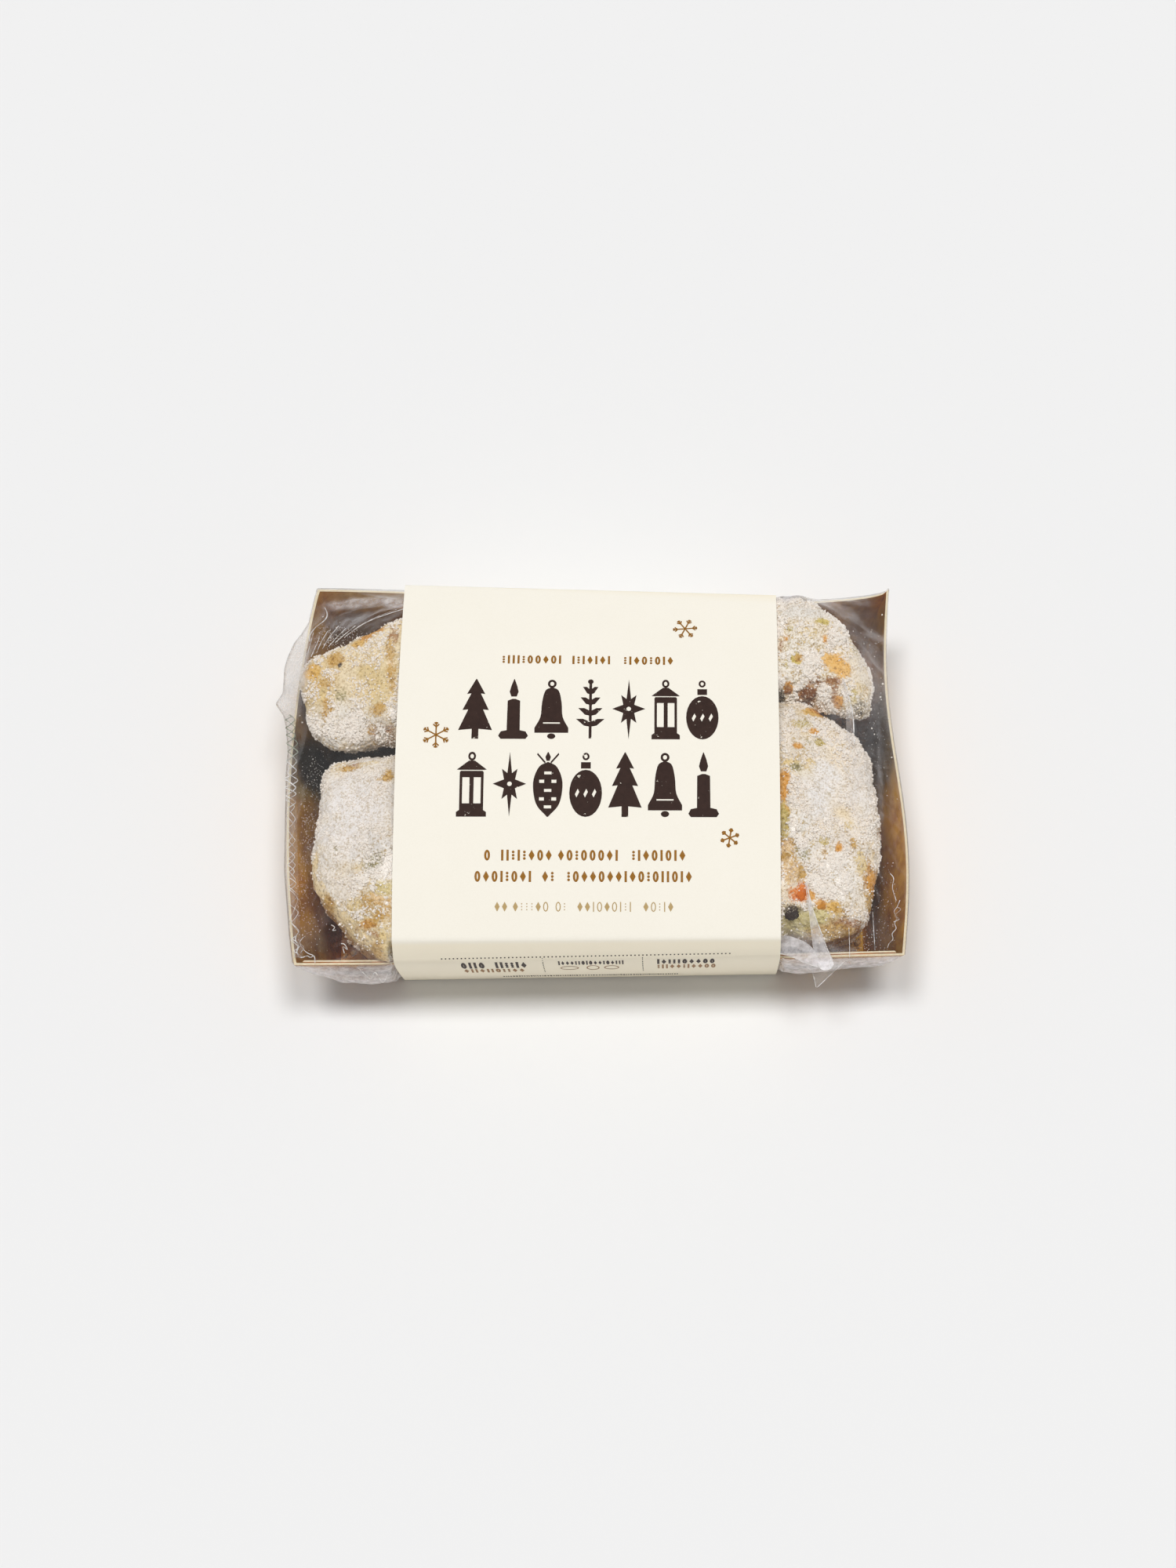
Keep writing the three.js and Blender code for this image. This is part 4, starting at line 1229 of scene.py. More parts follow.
# How far the film hangs out from the front and back walls below the rim, as x and distance.
HANGS = {
    FRONT: (
        (-84, 1.6), (-76, 4.2), (-68, 4.8), (-61, 3.8), (-56, 1.6), (-54, 0), (54, 0), (57, 2), (66, 3.4),
        (76, 2.2), (90, 1.2),
    ),
    BACK: ((-83, 1.0), (-70, 2.0), (-57, 1.0), (-54, 0), (54, 0), (57, 1), (70, 2), (89, 1)),
}

# Creases in the film's top: a height, a width and the line that each follows.
CREASES = (
    (0.9, 0.7, ((-80.4, 54.7), (-79.4, 52.1), (-79.9, 49.8), (-82.7, 46.8), (-84, 44.2),
                (-83.3, 41.1))),
    (0.8, 0.7, ((-55.7, 50.1), (-60.4, 48.6), (-65.7, 46.5), (-69.5, 44.2), (-72.9, 41.4))),
    (0.7, 1.3, ((-78.9, 55.3), (-71.9, 55.3), (-64.8, 55.0), (-56.5, 54.2))),
    (0.7, 0.5, ((-84.2, 37.7), (-83.6, 41.5), (-83.1, 45.4))),
    (0.6, 0.5, ((-83.1, 35.6), (-82.2, 39), (-80.9, 43.5))),
    (0.8, 0.5, ((-81.4, 36.4), (-80.3, 41), (-78.4, 46.2))),
    (0.7, 0.5, ((-79.6, 37.2), (-78, 42), (-75.2, 47.6))),
    (0.8, 0.5, ((-77.8, 37.9), (-75.2, 42.4), (-72.1, 46.8))),
    (0.6, 0.5, ((-75.8, 38.7), (-72.8, 43), (-69.2, 47))),
    (0.7, 0.5, ((-73.1, 40.3), (-69.8, 44.4), (-66.4, 48))),
    (0.6, 0.5, ((-70.4, 41.9), (-66.4, 45.6), (-62, 49.4))),
    (0.5, 0.6, ((-76, 49), (-70, 50.8), (-63, 51.4), (-57, 51))),
    (0.8, 0.6, ((74.7, 25.7), (76.3, 20), (77.3, 14), (77.6, 5.5))),
    (0.5, 1.2, ((73.2, 12.5), (74.6, 6.0), (76.0, -2.0), (77.6, -10.5), (79.2, -19.0))),
    (0.25, 1.0, ((84.8, 12.8), (86.3, 0.3), (87.4, -10.9), (87.6, -20))),
    (0.8, 0.5, ((75.4, -46.5), (75.5, -50), (75.6, -56))),
    (0.8, 0.5, ((81.4, -41.8), (82.1, -48.5), (82.4, -54))),
    (0.8, 1.4, ((70, 56), (77, 55.2), (84, 56.4))), (0.7, 1.2, ((77, 47), (82, 44), (88, 42.5))),
    (0.6, 1.0, ((80, 38), (84, 33), (88, 31))), (0.9, 1.3, ((-84, -47), (-79.5, -43.5), (-77, -40))),
    (0.9, 1.2, ((-82, -56), (-77, -51), (-72, -47))),
    (0.8, 1.2, ((-79, -57.4), (-74, -54), (-69, -52.4))),
    (0.6, 0.9, ((-86, -20), (-83.5, -12), (-82.4, -6))),
    (0.6, 0.8, ((-86.6, -1), (-84.2, 5), (-82.6, 11))),
    (0.7, 0.9, ((81, -36), (84.5, -44), (86.5, -52))), (0.6, 0.8, ((83, -33), (86.6, -40), (89, -47))),
    (0.6, 0.8, ((57, -46), (62, -50), (67, -56))), (0.5, 0.8, ((-57, 52.5), (-64, 56), (-70, 58.6))),
)
# Milky places, partly milky film and partly painted sheen where the film reflects the room: x, y, half
# widths and how milky.
MILK_AND_PAINTED_SHEEN = (
    (-87.5, 33, 5.5, 17, 0.46), (-90, 24, 4, 6, 0.3), (-70, 54.2, 13, 2.4, 0.34),
    (-58, 52.5, 5, 3.4, 0.4), (-72, 46, 9, 4.5, 0.12), (-81, 50, 3.4, 4, 0.08),
    (61, 57.2, 8, 3.2, 0.65), (58, 54, 5, 3, 0.35), (70, 54, 7, 2.4, 0.18), (80, 55.6, 6, 1.8, 0.12),
    (85, 43.4, 4.5, 1.8, 0.13), (72, 16, 3, 6, 0.06), (85.2, -4, 1.0, 18, 0.12), (77, -6, 2.6, 14, 0.1),
    (76.8, 49, 5, 4, 0.08), (81, 30, 3, 8, 0.06), (-86, -20, 2.0, 30, 0.05), (-80, -50, 5, 6, 0.03),
    (-76, -46, 5, 4, 0.02), (62, -53, 7, 2.4, 0.2), (70, -55, 8, 2, 0.1), (84, -50, 5, 6, 0.03),
    (80, 20, 8, 34, 0.05), (84, 30, 5, 26, 0.035), (-66, 24, 18, 26, 0.015), (67, -10, 18, 44, 0.015),
    (-66, -24, 16, 26, 0.02), (67, 38, 18, 18, 0.015),
)


def film_steps(wall):
    """Places along a wall, close together at the ends of the pack and wide under the sleeve."""
    start, end = TRAY_RIM[wall], TRAY_RIM[(wall + 1) % 4]
    length = np.linalg.norm(end - start)
    if wall in (LEFT, RIGHT):
        return np.arange(0, 1, FILM_END_STEP / length)
    places = [0.0]
    while places[-1] < 1:
        x = start[0] + (end[0] - start[0]) * places[-1]
        places.append(places[-1] + (FILM_END_STEP if abs(x) > 52 else FILM_MIDDLE_STEP) / length)
    return np.array(places[:-1])


def film_ring(share):
    """The film's places on the tray's walls at a share of their height."""
    return np.concatenate([wall_line(wall, film_steps(wall), share) for wall in range(4)])


def film_rim():
    """The film's line round the rim: its points, outward directions, and hang below."""
    points, outward, hang = [], [], []
    for wall in range(4):
        t = film_steps(wall)
        line = wall_line(wall, t, 1.0)
        run = TRAY_RIM[(wall + 1) % 4] - TRAY_RIM[wall]
        along = run / np.linalg.norm(run)
        out = np.tile([along[1], -along[0]], (len(t), 1))
        gap = np.full(len(t), FILM_GAP)
        if wall == LEFT:
            gap = np.maximum(gap, line[:, 0] - read_off(LEFT_SLACK, line[:, 1]))
        if wall in HANGS:
            gap = np.where(np.abs(line[:, 0]) < SLEEVE_REACH, FILM_WALL_GAP, gap)
            hang.append(read_off(HANGS[wall], line[:, 0]))
        else:
            hang.append(1.5 * arch(t, 0.6))
        points.append(line + out * gap[:, None])
        outward.append(out)
    return np.concatenate(points), np.concatenate(outward), np.concatenate(hang)


def inside_outline(points, outline):
    """Which points lie inside a closed outline."""
    inside = np.zeros(len(points), bool)
    x, y = points.T
    for (x0, y0), (x1, y1) in zip(outline, np.roll(outline, -1, axis=0)):
        if y0 != y1:
            inside ^= ((y0 > y) != (y1 > y)) & (x < x0 + (y - y0) * (x1 - x0) / (y1 - y0))
    return inside


class Height:
    """Heights on a square grid over the pack."""

    LOW, HIGH = np.array([-97.0, -66.0]), np.array([97.0, 68.0])

    def __init__(self, step):
        self.step = step
        self.shape = tuple(np.ceil((self.HIGH - self.LOW) / step).astype(int) + 1)
        lines = (self.LOW[axis] + step * np.arange(self.shape[axis]) for axis in range(2))
        x, y = np.meshgrid(*lines, indexing="ij")
        self.places = np.column_stack([x.ravel(), y.ravel()])
        self.z = np.zeros(self.shape)

    def highest(self, points):
        """The highest of the points at each grid place, spread to the places next to it."""
        top = np.zeros(self.shape)
        cell = np.round((points[:, :2] - self.LOW) / self.step).astype(int)
        cell = np.clip(cell, 0, np.array(self.shape) - 1)
        np.maximum.at(top, (cell[:, 0], cell[:, 1]), points[:, 2])
        for axis in (0, 1):
            top = np.maximum.reduce([np.roll(top, shift, axis) for shift in (-1, 0, 1)])
        return top

    def around(self):
        """The sum of the four heights next to each one."""
        z = self.z
        return np.roll(z, 1, 0) + np.roll(z, -1, 0) + np.roll(z, 1, 1) + np.roll(z, -1, 1)

    def at(self, places):
        """The heights at any places, between those of the grid."""
        spot = np.clip((places - self.LOW) / self.step, 0, np.array(self.shape) - 1.001)
        cell = spot.astype(int)
        (i, j), (u, v), z = cell.T, (spot - cell).T, self.z
        near, far = z[i, j] * (1 - u) + z[i + 1, j] * u, z[i, j + 1] * (1 - u) + z[i + 1, j + 1] * u
        return near * (1 - v) + far * v


def stretch_film(solid, rim):
    """A skin drawn tight over everything in `solid`, held at the rim."""
    before = None
    for step, rounds in ((3.0, 300), (1.5, 260), (0.75, 160)):
        grid = Height(step)
        inside = inside_outline(grid.places, rim).reshape(grid.shape)
        below = np.where(inside, grid.highest(solid) + FILM_LIFT, 0)
        grid.z = before.at(grid.places).reshape(grid.shape) if before else np.full(grid.shape, 40.0)
        for _ in range(rounds):
            grid.z = np.where(inside, np.maximum(grid.around() / 4, below), FILM_RIM_Z)
        before = grid
    grid.z = np.where(inside, (grid.around() + 2 * grid.z) / 6, grid.z)
    return grid


def distance_to_line(points, line):
    """The distance from flat points to a line of straight stretches."""
    nearest = np.full(len(points), 1e9)
    for start, end in zip(line[:-1], line[1:]):
        run = end - start
        t = np.clip((points - start) @ run / (run @ run), 0, 1)
        nearest = np.minimum(nearest, np.linalg.norm(points - start - t[:, None] * run, axis=1))
    return nearest


def film_relief(flat):
    """How far creases and crinkles raise the film at flat points."""
    relief = np.zeros(len(flat))
    for height, width, line in CREASES:
        curve = smooth_curve(line, 5)
        relief += height * np.exp(-((distance_to_line(flat, curve) / width) ** 1.2))
    points = at_height(flat, 0)
    folds = sum((1 - np.abs(noise(points, size, seed))) ** 3 * height for size, seed, height in FILM_FOLDS)
    return (relief + folds) * smooth_step(54, 60, np.abs(flat[:, 0]))


def film_milk_and_painted_sheen(flat):
    """How milky the film is at flat points, painted sheen included."""
    milk_and_painted_sheen = np.full(len(flat), 0.008)
    ragged = 0.3 * layered_noise(at_height(flat, 0), 5, 33, 3)
    for x, y, rx, ry, strength in MILK_AND_PAINTED_SHEEN:
        away = np.hypot((flat[:, 0] - x) / rx, (flat[:, 1] - y) / ry)
        milk_and_painted_sheen += strength * smooth_step(1.15, 0.3, away + ragged)
    return milk_and_painted_sheen


def film_over_bites(rim, skin):
    """Rings of the film's top, from the pack's middle line out to the rim."""
    hub = np.column_stack([np.clip(rim[:, 0], -FILM_HUB, FILM_HUB), np.zeros(len(rim))])
    rings = []
    for share in np.linspace(0.02, 1, FILM_ROWS):
        flat = hub + (rim - hub) * share
        inward = np.linalg.norm(rim - flat, axis=1)
        top = skin.at(flat) + film_relief(flat) * smooth_step(0, 2.0, inward)
        z = FILM_RIM_Z + (top - FILM_RIM_Z) * smooth_step(-0.4, 1.6, inward)
        rings.append(keep_under_sleeve(np.column_stack([flat, z]), FILM_SLEEVE_GAP))
    return rings


def film_on_walls(rim, outward, hang):
    """Rings of the film's walls, from the rim down."""
    slack = np.linalg.norm(rim - film_ring(1.0), axis=1)
    rings = []
    for down in np.linspace(0, 1, FILM_WALL_ROWS)[1:]:
        out = FILM_GAP * (1 - 0.4 * down) + (slack - FILM_GAP) * (1 - down) ** 1.4 + hang * arch(down, 0.9)
        ring = film_ring(1 - down) + outward * np.maximum(out, FILM_WALL_GAP)[:, None]
        points = at_height(ring, FILM_RIM_Z + (FILM_FOOT_Z - FILM_RIM_Z) * down)
        crinkle = 0.5 * noise(points, 6, 35) + 0.25 * noise(points, 2.6, 36)
        points[:, :2] += outward * (crinkle * arch(down, 0.7) * np.minimum(1, hang))[:, None]
        rings.append(keep_under_sleeve(points, FILM_SLEEVE_GAP))
    return rings


def film_fields(points):
    """How milky the film is, painted sheen included, and where painted shade dulls its milk, point by
    point.
    """
    milk_and_painted_sheen = film_milk_and_painted_sheen(points[:, :2])
    below = points[:, 2] < TRAY_RIM_Z - 0.5
    in_front = smooth_step(-46, -54, points[below, 1])
    milk_and_painted_sheen[below] = (0.1 + 0.38 * in_front) * (1 + 0.5 * noise(points[below] * (0.4, 1, 1), 5, 37))
    # Painted shade on the slack film beside the left rim, which darkens its milk.
    painted_milk_shade = smooth_step(-82, -86, points[:, 0]) * smooth_step(8, 18, points[:, 1])
    return {"milk_and_painted_sheen": milk_and_painted_sheen, "painted_milk_shade": painted_milk_shade * (0.75 + 0.25 * noise(points, 4, 38))}


def make_film(bites, fruit, finish):
    """The bag: a tight skin over the bites, a hanging wall round the tray and a turn below it."""
    rim, outward, hang = film_rim()
    edges = np.concatenate([wall_ring(1.0, -depth, (240, 160, 240, 160)) for depth in (0.0, TRAY_CARD)])
    bite_points = [points for points, _, _ in bites.values()]
    solid = [fruit, *bite_points, at_height(edges, TRAY_RIM_Z - FILM_LIFT + 0.3)]
    skin = stretch_film(np.concatenate(solid), rim)
    rings = [*film_over_bites(rim, skin), *film_on_walls(rim, outward, hang)]
    rings += [at_height(film_ring(0.0) * shrink, FILM_BASE_Z) for shrink in FILM_TURN]
    points = np.concatenate(rings)
    faces = band_faces(len(rings), len(rim))[:, ::-1]
    add_mesh(
        "film_skin", points, faces, [finish],
        replaces=["film_bag"], fields=film_fields(points),
    )


# The seal along the left rim: its axis, and the steps and reach of its two serrated lines.
SEAL_AXIS = (
    (-89.4, 19, 34.6), (-88.6, 13, 35), (-87.8, 6.9, 35.2), (-87.7, -3.1, 35.2), (-87.2, -13, 35),
    (-86.5, -22.8, 35), (-85.8, -32.5, 35), (-85.1, -42.2, 35), (-84.3, -50.5, 34.8),
    (-83.4, -56.6, 34.4),
)
SEAL_STEP = 5.4
SEAL_REACH = 1.2
TUBE_SIDES = 5

# The lines that the flaps hang between: a crease at the back right; the ear that stands at the
# front right, its neck and its tip; the flap beside it; and the tip that hangs below.
CREASE_LEFT = ((74.3, 25.3, 46.3), (74.9, 20.0, 46.1), (75.3, 14.0, 45.7), (75.2, 6.0, 45.3))
CREASE_RIGHT = ((74.7, 25.7, 46.6), (76.3, 20.0, 46.2), (77.3, 14.0, 45.8), (77.6, 5.5, 45.4))
EAR_LEFT = (
    (62.4, -38.7, 47.9), (63.2, -45.7, 47.0), (63.9, -51.1, 44.2), (64.7, -54.6, 39.2), (65.7, -57.1, 36.2),
    (66.8, -59.6, 35.0),
)
EAR_RIGHT = (
    (62.7, -38.2, 48.0), (64.3, -45.7, 47.0), (66.6, -51.5, 44.0), (68.7, -55.3, 39.0), (70.2, -57.5, 36.0),
    (70.7, -59.2, 35.2),
)
EAR_NECK = (
    (66.2, -58.2, 35.6), (67.2, -58.8, 35.4), (68.4, -59.0, 35.3), (69.5, -58.9, 35.3), (70.5, -58.6, 35.4),
)
EAR_TIP = (
    (66.2, -58.6, 35.5), (66.9, -60.1, 35.0), (68.2, -60.6, 34.9), (69.7, -60.3, 35.0), (70.6, -59.2, 35.2),
)
FLAP_TOP = (
    (55.3, -52.0, 40.9), (58.4, -52.5, 41.0), (61.8, -53.6, 40.3), (64.5, -55.1, 38.8), (66.2, -57.5, 36.0),
)
FLAP_LOW = (
    (55.3, -56.6, 38.0), (57.8, -57.2, 37.4), (60.1, -57.9, 36.6), (62.3, -58.6, 35.6), (66.4, -59.8, 35.0),
)
TIP_LEFT = ((64.2, -59.1, 33.6), (65.2, -61.6, 31.0), (65.9, -63.5, 28.2))
TIP_RIGHT = ((73.9, -57.5, 33.6), (70.6, -60.1, 31.0), (66.3, -63.6, 28.4))


def beside_seal(x, z):
    """The seal's axis moved by x and z."""
    return np.array(SEAL_AXIS) + [x, 0, z]


# Each flap: its two lines, how many points lie across it, how far its middle sags, a seed,
# and how milky it is, painted sheen included, at its start and at its end.
FLAPS = (
    (beside_seal(1.6, -0.9), beside_seal(-0.6, 0.2), 5, 0.3, 3, 0.03, 0.05),
    (beside_seal(-1.4, -0.6), beside_seal(0.5, 0.3), 5, 0.2, 4, 0.04, 0.06),
    (CREASE_LEFT, CREASE_RIGHT, 5, -0.2, 8, 0.16, 0.1),
    (EAR_LEFT, EAR_RIGHT, 6, -0.4, 5, 0.3, 0.85),
    (EAR_NECK, EAR_TIP, 4, 0.0, 9, 0.85, 0.85),
    (FLAP_TOP, FLAP_LOW, 7, -0.1, 6, 0.45, 0.6),
    (TIP_LEFT, TIP_RIGHT, 8, -0.4, 7, 0.06, 0.03),
)
# The flaps' bright edges: radius and line.
FLAP_EDGES = (
    (0.05, EAR_LEFT), (0.14, EAR_RIGHT), (0.08, EAR_TIP), (0.08, FLAP_LOW), (0.1, TIP_LEFT),
    (0.12, TIP_RIGHT),
)

# Cut edges, and painted highlights along sharp creases: radius and line.
EDGES_AND_PAINTED_HIGHLIGHTS = (
    (0.1, ((90.4, -39.1, 34.4), (89.4, -41.4, 34.8), (88.5, -42.8, 34.8), (89.3, -44.7, 34.8),
           (88.6, -46.4, 34.8), (89.0, -47.9, 34.8), (87.8, -49.5, 34.8), (88.0, -51.1, 34.6),
           (86.9, -52.3, 34.4), (86.4, -53.5, 34))),
    (0.1, ((89.4, -41.4, 34.8), (90.5, -42.1, 34.8), (88.6, -44.1, 35), (90.0, -45.0, 34.8),
           (88.3, -46.0, 35))),
    (0.13, ((87.6, -31.5, 36.2), (88.6, -33, 36), (88.2, -36, 36), (89.2, -39.6, 35.4))),
    (0.2, ((-80.4, 54.7, 34.2), (-79.4, 52.1, 35), (-79.9, 49.8, 35.8), (-82.7, 46.8, 36.4),
           (-84, 44.2, 36.8), (-84, 42, 37.4))),
    (0.16, ((-83.8, -49.5, 34.4), (-84.1, -51.4, 34.6), (-83.2, -53.1, 34.8), (-83.5, -55, 34.6),
            (-82.5, -56.6, 34.4), (-80.5, -56.2, 34.6), (-79.6, -56.6, 34.4), (-78.5, -56.2, 34.4),
            (-78.2, -58.1, 34))),
    (0.13, ((-82.6, -52.9, 35), (-81.4, -54.6, 35), (-80.2, -55.5, 34.8), (-78.8, -56, 34.6))),
    (0.12, ((-81.8, -50.6, 35), (-82.8, -52.4, 35.2), (-81.6, -53.6, 35), (-82.4, -55.4, 34.8))),
    (0.14, ((-70.8, -52.9, 36), (-69.7, -53.2, 36), (-68.9, -54.6, 35.6), (-70.2, -53.8, 35.8),
            (-69.8, -55.6, 35.2))),
    (0.13, ((-73.6, -47.8, 37.6), (-72.6, -48.6, 37.8), (-73.2, -49.4, 37.4), (-72.2, -49.4, 37.6))),
    (0.1, ((-84.2, 37.7, 38.4), (-83.6, 41.5, 37.6), (-83.1, 45.4, 36.4))),
    (0.11, ((-83.1, 36.0, 39.2), (-82.2, 39, 38.6), (-80.9, 43.5, 37.6))),
    (0.1, ((-81.4, 37.0, 40), (-80.3, 41, 39), (-78.6, 45, 38.2))),
    (0.12, ((-79.6, 38.0, 40.6), (-78, 42, 39.6), (-75.4, 46.6, 38.4))),
    (0.1, ((-77.8, 38.6, 41), (-75.2, 42.4, 40.2), (-73.1, 45.4, 39.2))),
    (0.12, ((-75.8, 39.6, 41.6), (-72.8, 43, 40.8), (-70.2, 46, 39.8))),
    (0.1, ((-73.1, 41.2, 42), (-69.8, 44.4, 41.2), (-67.0, 47.2, 40.2))),
    (0.13, ((-72.9, 41.4, 41.8), (-69.5, 44.2, 42), (-65.7, 46.5, 42.2), (-60.4, 48.6, 42.4),
            (-55.7, 50.1, 42.8))),
    (0.1, ((-69.4, 44.9, 41.2), (-64, 48.2, 41), (-58, 50.6, 41.4))), (0.2, CREASE_RIGHT),
    (0.1, ((75.0, -49.8, 41), (75.2, -52.9, 38.5), (75.4, -56.7, 35))),
    (0.1, ((82.0, -44.7, 40), (82.3, -49.7, 38), (82.7, -54.6, 35))),
    (0.12, ((-66.4, -58.2, 31), (-63.8, -60.2, 28), (-62.6, -60.6, 27), (-61.3, -59.6, 30),
            (-59.4, -61.4, 26), (-57.8, -60, 29))),
)
# The pale tone of the cut edges and of the painted crease highlights, and the seal's darker tone.
EDGE_AND_HIGHLIGHT_TONE = "f2f0ee"
SEAL_TONE = "98a08c"


def tube(line, radius):
    """A thin rod along a line of points; its radius is one number or one for each point."""
    line = np.asarray(line, float)
    along = np.gradient(line, axis=0)
    along /= np.linalg.norm(along, axis=1)[:, None]
    side = np.cross(along, [0.13, 0.21, 0.97])
    side /= np.linalg.norm(side, axis=1)[:, None]
    up = np.cross(side, along)
    angle = np.arange(TUBE_SIDES) / TUBE_SIDES * 2 * np.pi
    ring = np.cos(angle)[None, :, None] * side[:, None] + np.sin(angle)[None, :, None] * up[:, None]
    radius = np.broadcast_to(radius, len(line))[:, None, None]
    return (line[:, None] + ring * radius).reshape(-1, 3), band_faces(len(line), TUBE_SIDES)


def seal_line(phase, seed):
    """A serrated line that wanders to both sides of the seal's axis."""
    curve = smooth_curve(SEAL_AXIS, 40)
    runs = run_lengths(curve)
    at = np.arange(0, runs[-1], 0.3)
    line = np.column_stack([np.interp(at, runs, curve[:, i]) for i in range(3)])
    places = np.column_stack([at, np.full(len(at), seed * 9.0), np.zeros(len(at))])
    turn = at / (SEAL_STEP * (1 + 0.12 * noise(places, 16, seed))) * 2 * np.pi + phase
    # A wave of straight flanks, whose tips are a little blunt.
    swing = np.arcsin(np.clip(np.sin(turn), -0.97, 0.97)) / (np.pi / 2)
    reach = SEAL_REACH * (1 + 0.5 * smooth_step(-20, 0, line[:, 1]))
    line[:, 0] += reach * swing * (1 + 0.6 * noise(places, 9, seed + 1)) + 0.6 * noise(places, 12, seed + 2)
    line[:, 1] += 0.4 * noise(places, 4, seed + 3)
    line[:, 2] += 0.6 * np.cos(turn) + 0.5 * noise(places, 7, seed + 4)
    return line


def make_film_edges(finish):
    """The seal along the left rim, and the cut edges and painted crease highlights."""
    lines = []
    for i, (phase, radius) in enumerate(((0.0, 0.19), (2.9, 0.15))):
        line = seal_line(phase, 50 + i)
        lines.append(tube(line, radius * (0.58 + 0.42 * smooth_step(-14, -2, line[:, 1]))))
    seal_count = sum(len(points) for points, _ in lines)
    lines += [tube(smooth_curve(line, 4), radius) for radius, line in EDGES_AND_PAINTED_HIGHLIGHTS]
    points, faces = join(lines)
    # The back part of the seal stands out past the rim over the pale floor, and is darker.
    past_rim = (np.arange(len(points)) < seal_count) * smooth_step(2, 8, points[:, 1])
    tone = toward(np.tile(color(EDGE_AND_HIGHLIGHT_TONE), (len(points), 1)), SEAL_TONE, past_rim)
    add_mesh("film_edges_and_highlights", points, faces, [finish], fields={"tone": tone})


def strip(first, second, columns, sag, seed):
    """A ribbon of film between two lines with the same number of points."""
    first, second = smooth_curve(first, 6), smooth_curve(second, 6)
    share = np.linspace(0, 1, columns)[None, :, None]
    points = first[:, None] * (1 - share) + second[:, None] * share
    points[..., 2] -= sag * np.sin(np.pi * share[..., 0])
    flat = points.reshape(-1, 3)
    flat[:, 2] += 0.25 * noise(flat, 3.0, seed)
    return flat, band_faces(len(first), columns, wrap_columns=False)


def make_film_flaps(film, edges):
    """The film's flaps, and the bright edges of those that stand up."""
    points, faces = join([strip(*flap[:5]) for flap in FLAPS])
    milk_and_painted_sheen = []
    for first, _, columns, _, _, start, end in FLAPS:
        count = len(smooth_curve(first, 6)) * columns
        milk_and_painted_sheen.append(start + (end - start) * np.linspace(0, 1, count) ** 2)
    milk_and_painted_sheen = np.concatenate(milk_and_painted_sheen)
    fields = {"milk_and_painted_sheen": milk_and_painted_sheen, "painted_milk_shade": np.zeros(len(milk_and_painted_sheen))}
    add_mesh("film_flaps", points, faces, [film], fields=fields)
    points, faces = join([tube(smooth_curve(line, 5), radius) for radius, line in FLAP_EDGES])
    fields = {"tone": np.tile(color(EDGE_AND_HIGHLIGHT_TONE), (len(points), 1))}
    add_mesh("film_flap_edges", points, faces, [edges], fields=fields)


# ---------------------------------------------------------------- print on the sleeve

PRINT_LIFT = 0.05
PRINT_STRIP = 1.6
ROW_HEIGHT = 19.6
FLAKE_STROKE = 0.42


def on_top(points):
    """Carries flat x and y onto the sleeve's domed top."""
    x, y = points[:, 0], points[:, 1]
    u = sleeve_share(x)
    return np.column_stack([x, y, dome_z(u, top_share(u, y)) + PRINT_LIFT])


def on_front(points):
    """Carries x, and the distance below the top's front fold, onto the front panel."""
    placed = []
    for x, down in points:
        line = side_panel("front", sleeve_share(x))[::-1]
        y, z = (np.interp(-down, run_lengths(line), line[:, axis]) for axis in range(2))
        placed.append((x, y - PRINT_LIFT, z))
    return np.array(placed)


def add_print(name, shapes, carry, ink):
    """Lays flat shapes on the sleeve; each shape is an outline with any holes after it."""
    flat = bmesh.new()
    for outlines in shapes:
        loops = [[Vector((x, y, 0)) for x, y in outline] for outline in outlines]
        corners = [flat.verts.new(point) for loop in loops for point in loop]
        for triangle in tessellate_polygon(loops):
            try:
                flat.faces.new([corners[i] for i in triangle])
            except ValueError:
                continue
    heights = [vertex.co.y for vertex in flat.verts]
    for level in np.arange(min(heights) + PRINT_STRIP, max(heights), PRINT_STRIP):
        everything = [*flat.verts, *flat.edges, *flat.faces]
        bmesh.ops.bisect_plane(flat, geom=everything, dist=1e-5, plane_co=(0, level, 0), plane_no=(0, 1, 0))
    flat.verts.index_update()
    points = carry(np.array([vertex.co.xy for vertex in flat.verts]))
    faces = []
    for face in flat.faces:
        ring = [vertex.index for vertex in face.verts]
        faces.append(ring if face.normal.z > 0 else ring[::-1])
    flat.free()
    add_mesh(name, points, faces, [ink])


def ellipse(x, y, rx, ry, sides=28):
    angle = np.arange(sides) / sides * 2 * np.pi
    return np.column_stack([x + rx * np.cos(angle), y + ry * np.sin(angle)])


def ring(x, y, rx, ry, hole_rx, hole_ry, sides=28):
    """An ellipse with a hole."""
    return [ellipse(x, y, rx, ry, sides), ellipse(x, y, hole_rx, hole_ry, sides)[::-1]]


def bar(x, y, width, height, turn=0.0):
    """A rectangle about x, y, turned by an angle."""
    corners = np.array([[-1, -1], [1, -1], [1, 1], [-1, 1]]) * [width / 2, height / 2]
    c, s = math.cos(turn), math.sin(turn)
    return corners @ np.array([[c, s], [-s, c]]) + [x, y]


def mirrored(right):
    """A closed outline from its right half, listed from the top down."""
    right = np.array(right, float)
    return np.concatenate([right, right[::-1] * [-1, 1]])


# Figures in a unit square: each is a list of shapes, and a shape is an outline and its holes.

def fir():
    upper = [(0.01, 0.5), (0.27, 0.24), (0.14, 0.25), (0.39, -0.03)]
    lower = [(0.22, -0.02), (0.5, -0.36), (0.1, -0.34), (0.1, -0.5)]
    return [[mirrored(upper + lower)]]


